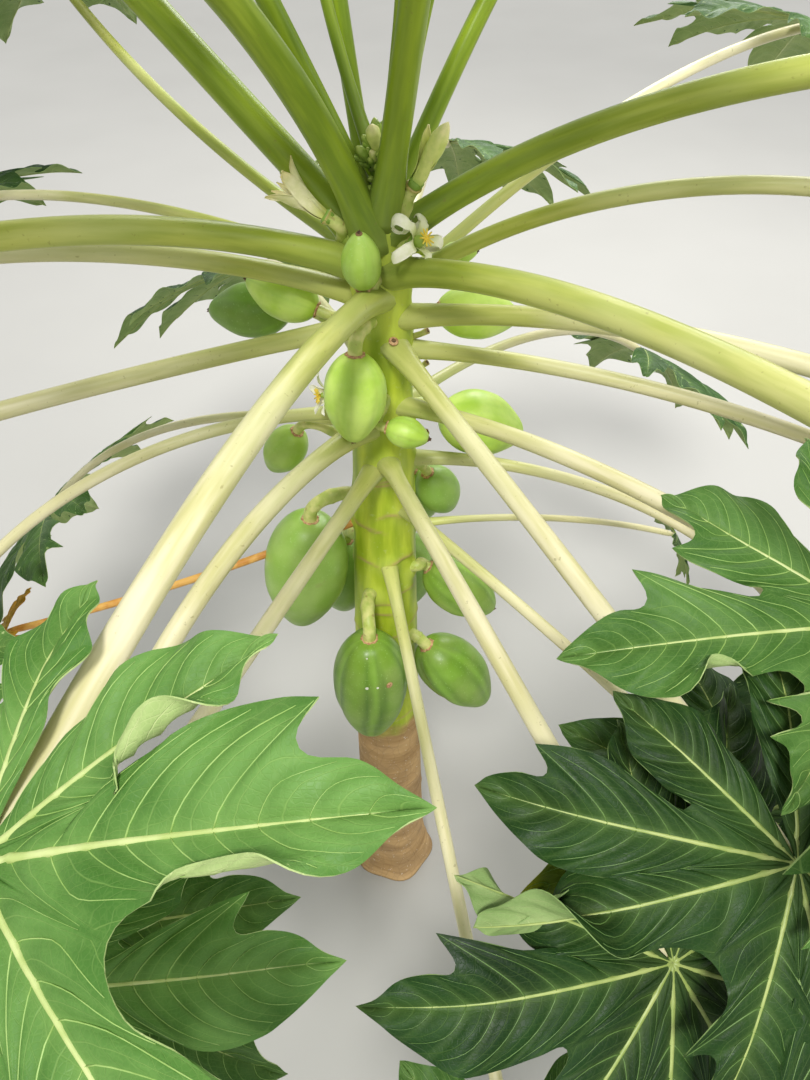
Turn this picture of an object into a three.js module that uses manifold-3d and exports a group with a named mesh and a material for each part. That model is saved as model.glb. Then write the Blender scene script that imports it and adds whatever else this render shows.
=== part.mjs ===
// Papaya tree, whole and in fruit: one trunk, its leaves, fruits, flowers and growing tip.
// Millimetres and degrees. +Z is up, +X the right of the usual view, -Y the side that faces it.
// The origin is on the flat cut under the trunk, at ground level.
import * as THREE from "three";
import { mergeVertices } from "three/addons/utils/BufferGeometryUtils.js";
import Module from "manifold-3d";

// Trunk: the height of each ring and its radius, the bow of its axis and the lobes of its root flare
const TRUNK_HEIGHTS = [0, 18, 45, 90, 200, 370, 520, 690, 870, 960, 1050, 1140, 1200, 1240, 1258];
const TRUNK_RADII = [69, 63, 57.5, 54, 51, 48.5, 45, 41.5, 37, 34.5, 32, 27.5, 23, 16, 7];
const TRUNK_TOP = 1258;
const TRUNK_CROWN = 3; // the top is domed by this much
const TRUNK_SIDES = 14;
const TRUNK_BOW = 5; // the axis bows this far to the left at half height
const FLARE_LOBES = 5;
const FLARE_DEPTH = 0.05; // share of the radius at ground level
const FLARE_HEIGHT = 90;

// Gap between a stem's foot and whatever it stands on or beside
const CLEAR = 0.35;

// Leaf stalk: a bar that swells at its foot and narrows where it enters the blade
const STALK_SIDES = 6;
const THIN_STALK_SIDES = 5;
const THIN_STALK = 6.5; // a stalk up to this radius at its tip has fewer sides
const STALK_STEPS = 24;
const STALK_RINGS_AT = [0, 1, 4, 10, 16, 23, 24]; // steps of the centreline that carry a ring
const STALK_POINT = 0.3;
const FOOT_SWELL = 0.35;
const FOOT_LENGTH = 35;
const FOOT_INSET = 0.6; // share of the trunk radius where a centreline starts
const FOOT_LIFT = 0.6; // how far a rising centreline starts below its height
const STEEPEST_LIFT = 60;

// Leaf blade: the direction of each main lobe from the middle one, and its share of the blade's reach
const LOBE_TURNS = [-150, -113, -75, -37, 0, 37, 75, 113, 150];
const LOBE_REACH = [0.68, 0.88, 0.96, 1.0, 1.03, 1.0, 0.96, 0.88, 0.68];
const SMALL_BLADE = 160; // a blade up to this reach has fewer lobes
const SMALL_TURNS = [-122, -62, 0, 62, 122];
const SMALL_REACH = [0.6, 0.88, 1.0, 0.88, 0.6];
const TURN_SPREAD = 8; // degrees by which lobes leave the pattern
const REACH_SPREAD = 0.14;
// lobes that leave the pattern further: leaf number, then each lobe's extra turn and share of its reach
const ODD_LOBES = {
  18: { 0: [0, 0.93], 1: [5, 1.03], 2: [12, 0.6] },
  21: { 2: [-12, 0.95], 3: [6, 0.8], 8: [12, 0.95] },
  22: { 1: [-8, 0.97] },
  27: { 0: [-12, 0.84], 5: [-4, 1], 6: [-9, 0.9], 7: [3, 1.03], 8: [-3, 1.04] },
};
const PLAIN_ENDS = 2; // this many lobes at each end of a blade have no notches
// outline of a lobe, in lobe lengths along its rib and across it
const SINUS_REACH = 0.42;
const LOBE_MIDDLE = 0.56;
const SHOULDER = { along: 0.7, across: 0.19 };
const NOTCH = { along: 0.76, across: 0.1 };
// the blade hangs away from its centre, and is pleated between its ribs
const BLADE_CURVE = 0.8;
const BLADE_SHORTENING = 0.6;
const PLEAT = 0.05;
const BLADE_THICK = 6;

// Leaves. height: of the foot on the trunk. facing: compass of the stalk, 0 to the right, 90 to the rear.
// rise, dip: slope of the stalk at its foot and at its tip. sweep: its sideways curve. length: of the stalk.
// foot, tip: stalk radii. reach: blade radius. turn, pitch, roll: set of the blade. droop: hang of its lobes.
const leaf = (
  height, facing, rise, dip, sweep, length, foot, tip, reach, turn, pitch, roll, droop,
) => ({ height, facing, rise, dip, sweep, length, foot, tip, reach, turn, pitch, roll, droop });
const LEAVES = [
  leaf(1182, 203, 28, -28, 6, 735, 13.5, 10, 285, 0, -22, 0, 0.35),
  leaf(1150, 187, 22, -23, 3, 680, 10, 8.5, 270, 0, -24, 0, 0.35),
  leaf(1215, 223, 70, 26, 0, 590, 14.5, 11.5, 280, 0, -5, 0, 0.35),
  leaf(1205, 170, 48, 46, -2, 650, 15, 11.5, 285, 0, 0, 0, 0.35),
  leaf(1240, 192, 68, 61, 0, 450, 9.5, 8, 180, 0, 55, 0, 0.3),
  leaf(1180, 130, 6, 18, -10, 640, 7, 6, 250, 0, -15, 0, 0.35),
  leaf(1225, 125, 72, 85, 0, 430, 8.5, 7, 165, 0, 60, 0, 0.3),
  leaf(1238, 42, 79, 64, 0, 335, 6.5, 5.5, 120, 0, 62, 0, 0.3),
  leaf(1236, 286, 68, 60, -3, 500, 12.5, 10, 240, 0, 10, 0, 0.3),
  leaf(1232, 41, 59, 36, 0, 550, 9, 7.5, 240, 0, 0, 0, 0.35),
  leaf(1215, 334, 43, -7, 0, 740, 12.5, 10, 285, 0, -20, 0, 0.35),
  leaf(1147, 41, 24, -5, 0, 700, 6.5, 6, 260, 0, -20, 0, 0.35),
  leaf(1165, 344, 41, -28, -5, 665, 8, 7, 270, 0, -22, 0, 0.35),
  leaf(1180, 306, 27, -16, 7, 780, 12.5, 10.5, 285, 0, -20, 0, 0.35),
  leaf(1130, 332, 20, -21, 0, 740, 10, 8, 280, 0, -20, 0, 0.35),
  leaf(1000, 47, 2, -41, -6, 620, 6, 6, 250, 0, -35, 0, 0.35),
  leaf(1092, 342, 8, -26, 2, 680, 8, 7, 270, 0, -30, 0, 0.35),
  leaf(1029, 313, 21, -4, -3, 512, 8.5, 7.5, 262, -12, -21, -1, 0.3),
  leaf(945, 350, 7, -54, -7, 570, 7, 6, 250, 0, -40, 0, 0.35),
  leaf(835, 6, 7, -24, 5, 360, 4.5, 4, 80, 0, -60, 0, 0.35),
  leaf(1105, 299, -4, -14, 4, 578, 9.5, 8, 243, -16, -35, 2, 0.3),
  leaf(958, 292, 27, -33, 24, 597, 9, 7.5, 255, 14, -38, 14, 0.3),
  leaf(888, 310, 2, -9, 1, 500, 6.5, 6, 260, 0, -25, 0, 0.35),
  leaf(800, 281, -7, -18, 2, 675, 7, 6, 230, 0, -30, 0, 0.35),
  leaf(949, 248, 12, -8, -10, 608, 9, 7.5, 247, 4, -36, 2, 0.3),
  leaf(1003, 243, 18, -44, 10, 590, 10.5, 9, 228, 6, -48, 8, 0.3),
  leaf(1157, 253, 22, -18, -8, 616, 12, 10, 271, -3, -31, 20, 0.3),
  leaf(1118, 198, -1, -12, -2, 740, 9.5, 8, 270, 0, -24, 0, 0.35),
  leaf(1010, 199, 12, -60, 12, 625, 7, 6, 260, 0, -45, 0, 0.35),
  leaf(980, 160, -5, -52, 8, 580, 5.5, 5, 240, 0, -45, 0, 0.35),
  leaf(850, 188, -22, -12, -2, 480, 5, 4.5, 110, 0, -50, 0, 0.35),
  leaf(1165, 152, 8, -22, 1, 690, 6, 5.5, 255, 0, -25, 0, 0.35),
  leaf(1100, 82, 15, -25, 0, 640, 7, 6, 265, 0, -25, 0, 0.35),
  leaf(1030, 112, 5, -35, 0, 620, 6.5, 5.5, 260, 0, -35, 0, 0.35),
];

// Fruits. facing, out and height place the middle of the fruit round the trunk's axis.
// way, slope: compass and slope from its stem end to its blossom end. radius, half: its half sizes.
// footHeight, footFacing: where its stem leaves the trunk. stem: radius of that stem.
const fruit = (facing, out, height, way, slope, radius, half, footHeight, footFacing, stem) => ({
  facing, out, height, way, slope, radius, half, footHeight, footFacing, stem,
});
const FRUITS = [
  fruit(253, 58, 1212, 262, 78, 17.5, 30, 1172, 262, 6),
  fruit(172, 100, 1140, 165, 18, 24, 39, 1108, 178, 6),
  fruit(158, 152, 1098, 168, -8, 29, 47, 1092, 165, 6),
  fruit(250, 76, 1077, 255, -80, 30.5, 48, 1128, 250, 7),
  fruit(291, 72, 1030, 345, -8, 16, 23, 1040, 275, 5),
  fruit(22, 106, 1104, 12, -12, 27, 46, 1110, 25, 6),
  fruit(12, 113, 972, 8, -22, 36, 52, 1000, 15, 7),
  fruit(35, 82, 850, 25, -65, 27, 40, 900, 35, 6),
  fruit(191, 101, 774, 185, -82, 51, 94, 888, 195, 8),
  fruit(259, 98, 638, 262, -86, 48, 94, 746, 247, 8),
  fruit(338, 103, 588, 355, -54, 43, 73, 650, 322, 8),
  fruit(350, 98, 740, 350, -36, 36, 55, 775, 335, 7),
  fruit(128, 96, 668, 130, -84, 44, 76, 765, 130, 8),
  fruit(152, 138, 900, 158, -60, 25, 42, 938, 150, 6),
  fruit(8, 74, 1186, 8, 4, 11, 18, 1182, 12, 4),
  fruit(75, 95, 655, 75, -85, 43, 74, 752, 75, 8),
  fruit(65, 96, 812, 62, -70, 36, 58, 880, 70, 7),
];
const FRUIT_SIDES = 7;
// place of each ring along the fruit, and its share of the greatest radius
const FRUIT_RINGS = [[0.06, 0.42], [0.26, 0.88], [0.52, 1], [0.78, 0.84], [0.95, 0.36]];
const STEM_SIDES = 5;
const STEM_FLARE = 1.25;
const STEM_STANDS_OUT = 9; // the stem turns this far out of the trunk
const FRUIT_STEM_ARCH = 10;

// Flowers. facing, out, height: the foot of the flower. way, slope: where it points.
const flower = (name, facing, out, height, way, slope, length, width, footHeight, footFacing, stem, petals) => ({
  name, facing, out, height, way, slope, length, width, footHeight, footFacing, stem, petals,
});
const FLOWERS = [
  flower("flower_left", 200, 48, 1232, 172, 35, 66, 15, 1198, 178, 6, 5),
  flower("flower_front", 300, 52, 1222, 320, 35, 34, 15, 1196, 300, 6, 5),
  flower("flower_low", 225, 62, 1062, 205, 10, 34, 11, 1050, 222, 4, 5),
  flower("flower_right", 318, 36, 1262, 330, 62, 72, 11, 1222, 318, 6, 3),
];
const FLOWER_STEM_ARCH = 4;
const CUP = { length: 0.55, width: 0.5, sides: 6, rings: [[0.15, 0.7], [0.5, 1], [0.85, 0.6]] };
const PETAL = { start: 0.2, length: 0.8, width: 0.42, sides: 4, rings: [[0.3, 0.8], [0.65, 1]] };
const PETAL_SPREAD = 24;

// Growing tip, on the top of the trunk: a blunt core, buds and two young leaves
const TIP_BASE = 1262;
const TIP_CORE = { length: 48, radius: 9, sides: 8, rings: [[0.05, 0.9], [0.5, 1], [0.85, 0.5]] };
const BUD = { sides: 5, rings: [[0.35, 0.8], [0.75, 1]] };
const BUDS = [
  { facing: 255, base: 12, slope: 62, length: 50, radius: 7 },
  { facing: 215, base: 8, slope: 50, length: 34, radius: 5 },
  { facing: 300, base: 10, slope: 70, length: 36, radius: 5 },
  { facing: 20, base: 14, slope: 66, length: 34, radius: 5 },
  { facing: 110, base: 16, slope: 66, length: 34, radius: 5 },
];
const YOUNG_FOOT = 1274;
const YOUNG_LEAVES = [
  leaf(YOUNG_FOOT, 150, 66, 80, 0, 215, 5.5, 4.5, 95, 0, 55, 0, 0.3),
  leaf(YOUNG_FOOT, 55, 76, 84, 0, 190, 5, 4, 75, 0, 65, 0, 0.3),
];

const wasm = await Module();
wasm.setup();

const UP = new THREE.Vector3(0, 0, 1);
const rad = THREE.MathUtils.degToRad;
const moved = (point, way, distance) => point.clone().addScaledVector(way, distance);
const heading = (compass, slope) =>
  new THREE.Vector3(
    Math.cos(rad(slope)) * Math.cos(rad(compass)),
    Math.cos(rad(slope)) * Math.sin(rad(compass)),
    Math.sin(rad(slope)),
  );

// A fixed number from 0 to 1 for each set of whole numbers
const seeded = (...keys) => {
  const sum = keys.reduce((total, key, i) => total + (key + 1) * (12.9898 + 65.233 * i), 0);
  const wave = Math.sin(sum) * 43758.5453;
  return wave - Math.floor(wave);
};

// Solids from geometries, and geometries from solids
const solidOf = (geometry) => {
  const merged = mergeVertices(geometry, 1e-4);
  return new wasm.Manifold(
    new wasm.Mesh({
      numProp: 3,
      vertProperties: merged.attributes.position.array,
      triVerts: new Uint32Array(merged.index.array),
    }),
  );
};
const geometryOf = (solid) => {
  const mesh = solid.getMesh();
  const geometry = new THREE.BufferGeometry();
  geometry.setAttribute("position", new THREE.BufferAttribute(mesh.vertProperties, 3));
  geometry.setIndex(new THREE.BufferAttribute(mesh.triVerts, 1));
  geometry.computeVertexNormals();
  return geometry;
};
const geometryFrom = (points, faces) => {
  const geometry = new THREE.BufferGeometry().setFromPoints(points);
  geometry.setIndex(faces.flat());
  return geometry;
};
const biggest = (solid) => solid.decompose().sort((a, b) => b.volume() - a.volume())[0];

// Rings of points joined into one closed skin, with a point at each end
const skin = (rings, start, end) => {
  const n = rings[0].length;
  const points = [start, ...rings.flat(), end];
  const last = points.length - 1;
  const faces = [];
  for (let k = 0; k < n; k += 1) {
    const j = (k + 1) % n;
    faces.push([0, 1 + j, 1 + k]);
    for (let ring = 0; ring < rings.length - 1; ring += 1) {
      const near = 1 + ring * n;
      const far = near + n;
      faces.push([near + k, near + j, far + j], [near + k, far + j, far + k]);
    }
    const top = 1 + (rings.length - 1) * n;
    faces.push([top + k, top + j, last]);
  }
  return solidOf(geometryFrom(points, faces));
};

// A ring of points round a centre, in the plane of two axes
const ringOf = (centre, side, other, radius, sides, start = 0) =>
  Array.from({ length: sides }, (_, k) => {
    const a = (2 * Math.PI * (k + start)) / sides;
    return moved(moved(centre, side, radius * Math.cos(a)), other, radius * Math.sin(a));
  });

// A round bar along a line of points, each with its own radius
const bar = (line, radii, sides) => {
  let side = null;
  const rings = line.map((point, i) => {
    const before = line[Math.max(0, i - 1)];
    const after = line[Math.min(line.length - 1, i + 1)];
    const along = after.clone().sub(before).normalize();
    const guess = side || (Math.abs(along.z) > 0.9 ? new THREE.Vector3(1, 0, 0) : UP);
    side = moved(guess, along, -along.dot(guess)).normalize();
    return ringOf(point, side, along.clone().cross(side), radii[i], sides);
  });
  return skin(rings, line[0], line[line.length - 1]);
};

// A pointed spindle from a start along a way. room makes it larger all round.
const spindle = (start, way, length, radius, shape, room) => {
  const along = way.clone().normalize();
  const guess = Math.abs(along.z) > 0.9 ? new THREE.Vector3(0, 1, 0) : UP;
  const side = along.clone().cross(guess).normalize();
  const other = along.clone().cross(side);
  const rings = shape.rings.map(([place, width]) =>
    ringOf(moved(start, along, place * length), side, other, radius * width + room, shape.sides, 0.5),
  );
  return skin(rings, moved(start, along, -room), moved(start, along, length + room));
};

// Trunk
const trunkRadius = (height) => {
  const top = TRUNK_HEIGHTS.length - 1;
  if (height >= TRUNK_TOP) return TRUNK_RADII[top];
  const above = TRUNK_HEIGHTS.findIndex((z) => z > height);
  const share = (height - TRUNK_HEIGHTS[above - 1]) / (TRUNK_HEIGHTS[above] - TRUNK_HEIGHTS[above - 1]);
  return THREE.MathUtils.lerp(TRUNK_RADII[above - 1], TRUNK_RADII[above], share);
};
const trunkAxis = (height) => -TRUNK_BOW * Math.sin((Math.PI * height) / TRUNK_TOP);
const beside = (facing, out, height) =>
  new THREE.Vector3(
    trunkAxis(height) + out * Math.cos(rad(facing)),
    out * Math.sin(rad(facing)),
    height,
  );
const trunkSolid = (room) => {
  const rings = TRUNK_HEIGHTS.map((height, i) => {
    const flare = FLARE_DEPTH * Math.max(0, 1 - height / FLARE_HEIGHT);
    const lift = height === TRUNK_TOP ? room : 0;
    return Array.from({ length: TRUNK_SIDES }, (_, k) => {
      const facing = (360 * k) / TRUNK_SIDES;
      const radius = TRUNK_RADII[i] * (1 + flare * Math.cos(FLARE_LOBES * rad(facing))) + room;
      return moved(beside(facing, radius, height), UP, lift);
    });
  });
  return skin(rings, new THREE.Vector3(), beside(0, 0, TRUNK_TOP + TRUNK_CROWN + room));
};

// Leaf stalk: its slope and its compass change evenly along it
const stalkLine = (l) => {
  const startFacing = l.facing - l.sweep / 2;
  const radius = trunkRadius(l.height);
  const rise = Math.tan(rad(Math.min(l.rise, STEEPEST_LIFT)));
  const lift = radius * (1 - FOOT_INSET) * rise * FOOT_LIFT;
  const line = [moved(beside(startFacing, radius * FOOT_INSET, l.height), UP, -lift)];
  for (let i = 0; i < STALK_STEPS; i += 1) {
    const share = (i + 0.5) / STALK_STEPS;
    const slope = THREE.MathUtils.lerp(l.rise, l.dip, share);
    const compass = l.facing + l.sweep * (share - 0.5);
    line.push(moved(line[i], heading(compass, slope), l.length / STALK_STEPS));
  }
  return line;
};
const stalkRadius = (l, share) => {
  const swell = 1 + FOOT_SWELL * Math.exp((-share * l.length) / FOOT_LENGTH);
  return (l.foot + (l.tip - l.foot) * share ** 0.8) * swell;
};
const stalkSolid = (l, room) => {
  const line = stalkLine(l);
  const radii = STALK_RINGS_AT.map((i) => {
    const narrow = i === STALK_STEPS ? STALK_POINT : 1;
    return narrow * stalkRadius(l, i / STALK_STEPS) + room;
  });
  const sides = l.tip > THIN_STALK ? STALK_SIDES : THIN_STALK_SIDES;
  return bar(STALK_RINGS_AT.map((i) => line[i]), radii, sides);
};

// Centre and axes of a blade: outward, sideways and up
const bladeFrame = (l) => {
  const line = stalkLine(l);
  const centre = line[STALK_STEPS];
  const way = centre.clone().sub(line[STALK_STEPS - 1]);
  const compass = THREE.MathUtils.radToDeg(Math.atan2(way.y, way.x)) + l.turn;
  const out = heading(compass, l.pitch);
  const flat = heading(compass + 90, 0);
  const lifted = out.clone().cross(flat);
  const side = moved(flat.multiplyScalar(Math.cos(rad(l.roll))), lifted, Math.sin(rad(l.roll)));
  return { centre, out, side, up: out.clone().cross(side) };
};

// Direction and reach of each lobe, a little off the pattern
const bladeLobes = (l, index) => {
  const small = l.reach <= SMALL_BLADE;
  const turns = small ? SMALL_TURNS : LOBE_TURNS;
  const reaches = small ? SMALL_REACH : LOBE_REACH;
  return turns.map((turn, k) => {
    const [extra, share] = ODD_LOBES[index + 1]?.[k] ?? [0, 1];
    return {
      turn: rad(turn + extra + TURN_SPREAD * (seeded(index, k, 1) - 0.5)),
      reach: share * reaches[k] * (1 + REACH_SPREAD * (seeded(index, k, 2) - 0.5)),
    };
  });
};

// The blade as one sheet of even thickness, fanned out from its centre and from the middle of each lobe
const bladeSolid = (l, index) => {
  const { centre, out, side, up } = bladeFrame(l);
  const sheet = [];
  const put = (x, y, lift) => {
    const r = Math.hypot(x, y);
    const drop = l.droop * BLADE_CURVE * r * r;
    const short = 1 / Math.sqrt(1 + BLADE_SHORTENING * l.droop * l.droop * r * r);
    const flat = moved(moved(centre, out, x * short * l.reach), side, y * short * l.reach);
    sheet.push(moved(flat, up, (lift * r - drop) * l.reach));
    return sheet.length - 1;
  };
  const lobes = bladeLobes(l, index);
  const hub = put(0, 0, 0);
  const faces = [];
  const rim = [hub];
  let before = hub;
  lobes.forEach(({ turn, reach }, k) => {
    const on = (along, across, lift) =>
      put(
        reach * (along * Math.cos(turn) - across * Math.sin(turn)),
        reach * (along * Math.sin(turn) + across * Math.cos(turn)),
        lift,
      );
    const middle = on(LOBE_MIDDLE, 0, 0);
    const notched = k >= PLAIN_ENDS && k < lobes.length - PLAIN_ENDS && l.reach > SMALL_BLADE;
    const edge = [on(SHOULDER.along, -SHOULDER.across, PLEAT)];
    if (notched) edge.push(on(NOTCH.along, -NOTCH.across, PLEAT / 2));
    edge.push(on(1, 0, 0));
    if (notched) edge.push(on(NOTCH.along, NOTCH.across, PLEAT / 2));
    edge.push(on(SHOULDER.along, SHOULDER.across, PLEAT));
    let after = hub;
    if (k < lobes.length - 1) {
      const next = lobes[k + 1];
      const half = (turn + next.turn) / 2;
      const sinus = (SINUS_REACH * (reach + next.reach)) / 2;
      after = put(sinus * Math.cos(half), sinus * Math.sin(half), PLEAT);
    }
    const round = [before, ...edge, after];
    round.slice(1).forEach((point, i) => faces.push([middle, round[i], point]));
    if (before !== hub) faces.push([hub, before, middle]);
    if (after !== hub) faces.push([hub, middle, after]);
    rim.push(...edge);
    if (after !== hub) rim.push(after);
    before = after;
  });
  const n = sheet.length;
  const points = [BLADE_THICK / 2, -BLADE_THICK / 2].flatMap((h) => sheet.map((p) => moved(p, up, h)));
  const under = faces.map(([a, b, c]) => [n + a, n + c, n + b]);
  const edges = rim.flatMap((a, i) => {
    const b = rim[(i + 1) % rim.length];
    return [[a, n + a, n + b], [a, n + b, b]];
  });
  return solidOf(geometryFrom(points, [...faces, ...under, ...edges]));
};

// A bent stem from inside the trunk into the foot of a fruit or flower
const stemSolid = (item, end, way, arch, room) => {
  const radius = trunkRadius(item.footHeight);
  const line = [
    beside(item.footFacing, radius * FOOT_INSET, item.footHeight),
    beside(item.footFacing, radius + STEM_STANDS_OUT, item.footHeight + arch),
    moved(end, way, -item.stem * 1.4),
    moved(end, way, item.stem * 1.2),
  ];
  const radii = [STEM_FLARE, 1, 1, 0.8].map((share) => item.stem * share + room);
  return bar(line, radii, STEM_SIDES);
};

const fruitSolid = (f, room) => {
  const way = heading(f.way, f.slope);
  const start = moved(beside(f.facing, f.out, f.height), way, -f.half);
  const shape = { sides: FRUIT_SIDES, rings: FRUIT_RINGS };
  const body = spindle(start, way, f.half * 2, f.radius, shape, room);
  return body.add(stemSolid(f, start, way, FRUIT_STEM_ARCH, room));
};

const flowerSolid = (f, room) => {
  const way = heading(f.way, f.slope);
  const base = beside(f.facing, f.out, f.height);
  const side = way.clone().cross(UP).normalize();
  const other = side.clone().cross(way);
  const spread = Math.tan(rad(PETAL_SPREAD));
  let made = spindle(base, way, f.length * CUP.length, f.width * CUP.width, CUP, room);
  for (let k = 0; k < f.petals; k += 1) {
    const a = (2 * Math.PI * (k + 0.3)) / f.petals;
    const lean = moved(moved(way, side, spread * Math.cos(a)), other, spread * Math.sin(a));
    const start = moved(base, way, f.length * PETAL.start);
    made = made.add(spindle(start, lean, f.length * PETAL.length, f.width * PETAL.width, PETAL, room));
  }
  return made.add(stemSolid(f, base, way, FLOWER_STEM_ARCH, room));
};

const tipSolid = () => {
  const base = beside(0, 0, TIP_BASE);
  let made = spindle(base, UP, TIP_CORE.length, TIP_CORE.radius, TIP_CORE, 0);
  BUDS.forEach((bud) => {
    const start = moved(base, UP, bud.base);
    made = made.add(spindle(start, heading(bud.facing, bud.slope), bud.length, bud.radius, BUD, 0));
  });
  YOUNG_LEAVES.forEach((l, i) => {
    made = made.add(stalkSolid(l, 0)).add(bladeSolid(l, LEAVES.length + i));
  });
  return made;
};

// What is already in place keeps its room, and what comes later is cut clear of it
const rooms = [];
const keepRoom = (solid) => rooms.push({ solid, box: solid.boundingBox() });
const apart = (a, b) => [0, 1, 2].some((k) => a.min[k] > b.max[k] || b.min[k] > a.max[k]);
const cutClear = (solid) => {
  let made = solid;
  rooms.forEach((room) => {
    if (apart(made.boundingBox(), room.box)) return;
    const next = made.subtract(room.solid);
    made.delete();
    made = next;
  });
  return biggest(made);
};

const tree = new THREE.Group();
const groupFor = (name) => {
  const group = new THREE.Group();
  group.name = name;
  tree.add(group);
  return group;
};
const show = (group, name, solid, color, roughness) => {
  const mesh = new THREE.Mesh(
    geometryOf(solid),
    new THREE.MeshStandardMaterial({ color, roughness, metalness: 0 }),
  );
  mesh.name = name;
  group.add(mesh);
};
const numbered = (kind, index) => `${kind}_${String(index + 1).padStart(2, "0")}`;

show(tree, "trunk", trunkSolid(0), 0x8fa45a, 0.75);
keepRoom(trunkSolid(CLEAR));

const leaves = groupFor("leaves");
LEAVES.forEach((l, i) => {
  const stalk = cutClear(stalkSolid(l, 0));
  keepRoom(stalkSolid(l, CLEAR));
  show(leaves, numbered("leaf", i), stalk.add(bladeSolid(l, i)), 0x5c9a3c, 0.6);
});

const fruits = groupFor("fruits");
FRUITS.forEach((f, i) => {
  show(fruits, numbered("fruit", i), cutClear(fruitSolid(f, 0)), 0x6ea83c, 0.4);
  keepRoom(fruitSolid(f, CLEAR));
});

const flowers = groupFor("flowers");
FLOWERS.forEach((f) => {
  show(flowers, f.name, cutClear(flowerSolid(f, 0)), 0xe9e3b4, 0.6);
  keepRoom(flowerSolid(f, CLEAR));
});

show(tree, "growing_tip", cutClear(tipSolid()), 0x86b44a, 0.6);

export default tree;
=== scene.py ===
"""Papaya tree in fruit: fine stalks, blades, veins, fruit, flowers and bark around the solid frame.

Tables are in millimetres and degrees, in the frame's axes: +Z up, +X to the right of the main view and
-Y towards it. Meshes are built in millimetres and stored in metres.
"""
import math
from collections import namedtuple

import bpy
import numpy as np
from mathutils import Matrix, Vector


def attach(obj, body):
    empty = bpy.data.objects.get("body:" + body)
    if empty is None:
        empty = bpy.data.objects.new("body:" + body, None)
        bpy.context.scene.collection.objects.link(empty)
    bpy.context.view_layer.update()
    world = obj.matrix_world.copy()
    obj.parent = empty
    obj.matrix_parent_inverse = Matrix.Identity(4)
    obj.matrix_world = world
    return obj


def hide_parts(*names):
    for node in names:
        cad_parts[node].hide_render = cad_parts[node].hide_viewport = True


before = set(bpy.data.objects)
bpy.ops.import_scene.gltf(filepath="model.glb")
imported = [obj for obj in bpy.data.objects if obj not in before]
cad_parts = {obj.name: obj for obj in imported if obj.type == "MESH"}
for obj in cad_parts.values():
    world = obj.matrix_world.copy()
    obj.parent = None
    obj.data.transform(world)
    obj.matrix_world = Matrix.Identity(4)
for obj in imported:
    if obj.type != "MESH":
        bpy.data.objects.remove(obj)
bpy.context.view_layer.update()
MM = 0.001
ANY_TURN = 6.283  # the span of a seeded turn, in radians

# Trunk
TRUNK_HEIGHTS = [0, 18, 45, 90, 200, 370, 520, 690, 870, 960, 1050, 1140, 1200, 1240, 1258]
TRUNK_RADII = [69, 63, 57.5, 54, 51, 48.5, 45, 41.5, 37, 34.5, 32, 27.5, 23, 16, 7]
TRUNK_TOP = 1258
TRUNK_BOW = 5
TRUNK_RING_GAP = 3.8
TRUNK_POINTS_ROUND = 104
FLARE_LOBES = 5
FLARE_DEPTH = 0.05
FLARE_HEIGHT = 90
DOME_HEIGHT = 2.6
DOME_RINGS = 3
BARK_TOP = 502  # brown bark ends here, less up to the wander
BARK_TOP_WANDER = 100
BARK_TOP_BLEND = 12

# Leaf scars: height and facing of those that are listed. The others climb the trunk in a spiral.
SCARS = [(931, 268), (885, 284), (862, 238), (806, 236), (810, 305), (750, 315), (715, 262), (668, 292)]
SCAR_TURN = 137.5
SCAR_STEP = 25
SCAR_BOTTOM = 34
SCAR_TOP = 1000
SCAR_SAG = 5.5
SCAR_RIDGE = 1.5
SCAR_PAD = 0.8
FOOT_PAD = 4.2
FOOT_PAD_REACH = 1.75  # of the radius of the stalk or stem
# the round scar where a fruit hung, on the foot of a stalk: height, facing and how far it stands out
FRUIT_SCAR = (1118, 288, 9)
FRUIT_SCAR_SLOPE = 65
# short stems left without fruit: height, facing, length, radius and slope
STUBS = [(1100, 352, 17, 3.2, 25), (1056, 356, 18, 3, 35), (975, 352, 16, 3, 20), (1150, 236, 15, 2.8, 10)]

# Leaf stalks
FOOT_SWELL = 0.35
FOOT_LENGTH = 35
FOOT_WIDENS = 0.3
FOOT_WIDE_FOR = 48
FOOT_INSET = 0.6
FOOT_LIFT = 0.6
STEEPEST_LIFT = 60
FRAME_STEPS = 24
STALK_STEPS = 52
STALK_SIDES = 14
STREAK_SHIFT = 0.37  # from one stalk to the next
STREAK_STRETCH = 0.09

# Leaf blades. Shares are of the blade's reach, unless they say otherwise.
LOBE_TURNS = [-150, -113, -75, -37, 0, 37, 75, 113, 150]
LOBE_REACH = [0.68, 0.88, 0.96, 1.0, 1.03, 1.0, 0.96, 0.88, 0.68]
SMALL_BLADE = 160
SMALL_TURNS = [-122, -62, 0, 62, 122]
SMALL_REACH = [0.6, 0.88, 1.0, 0.88, 0.6]
TURN_SPREAD = 8
REACH_SPREAD = 0.14
TWIST_SPREAD = 30
# lobes that leave the pattern further: leaf number, then each lobe's extra turn and share of its reach
ODD_LOBES = {
    18: {0: (0, 0.93), 1: (5, 1.03), 2: (12, 0.6)},
    21: {2: (-12, 0.95), 3: (6, 0.8), 8: (12, 0.95)},
    22: {1: (-8, 0.97)},
    27: {0: (-12, 0.84), 5: (-4, 1), 6: (-9, 0.9), 7: (3, 1.03), 8: (-3, 1.04)},
}
SINUS_REACH = 0.42
OPEN_SINUS_REACH = 0.38  # beside the gap over the stalk
OPEN_HALF_TURN = 19
BLADE_CURVE = 0.8
BLADE_SHORTENING = 0.6
PLEAT = 0.05
PLEAT_WIDTH = 0.05
QUILT = 0.011
WAVE = 0.018
LOBE_DROOP = 0.06
RIB_BEND = 0.4
FOLD_RADIUS = 0.022
FOLD_BLEND = 0.16  # of the rib
HUB_LIFT = 0.8  # of the stalk's radius, so that the blade lies on its stalk
BLADE_THICK = 0.8
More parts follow.
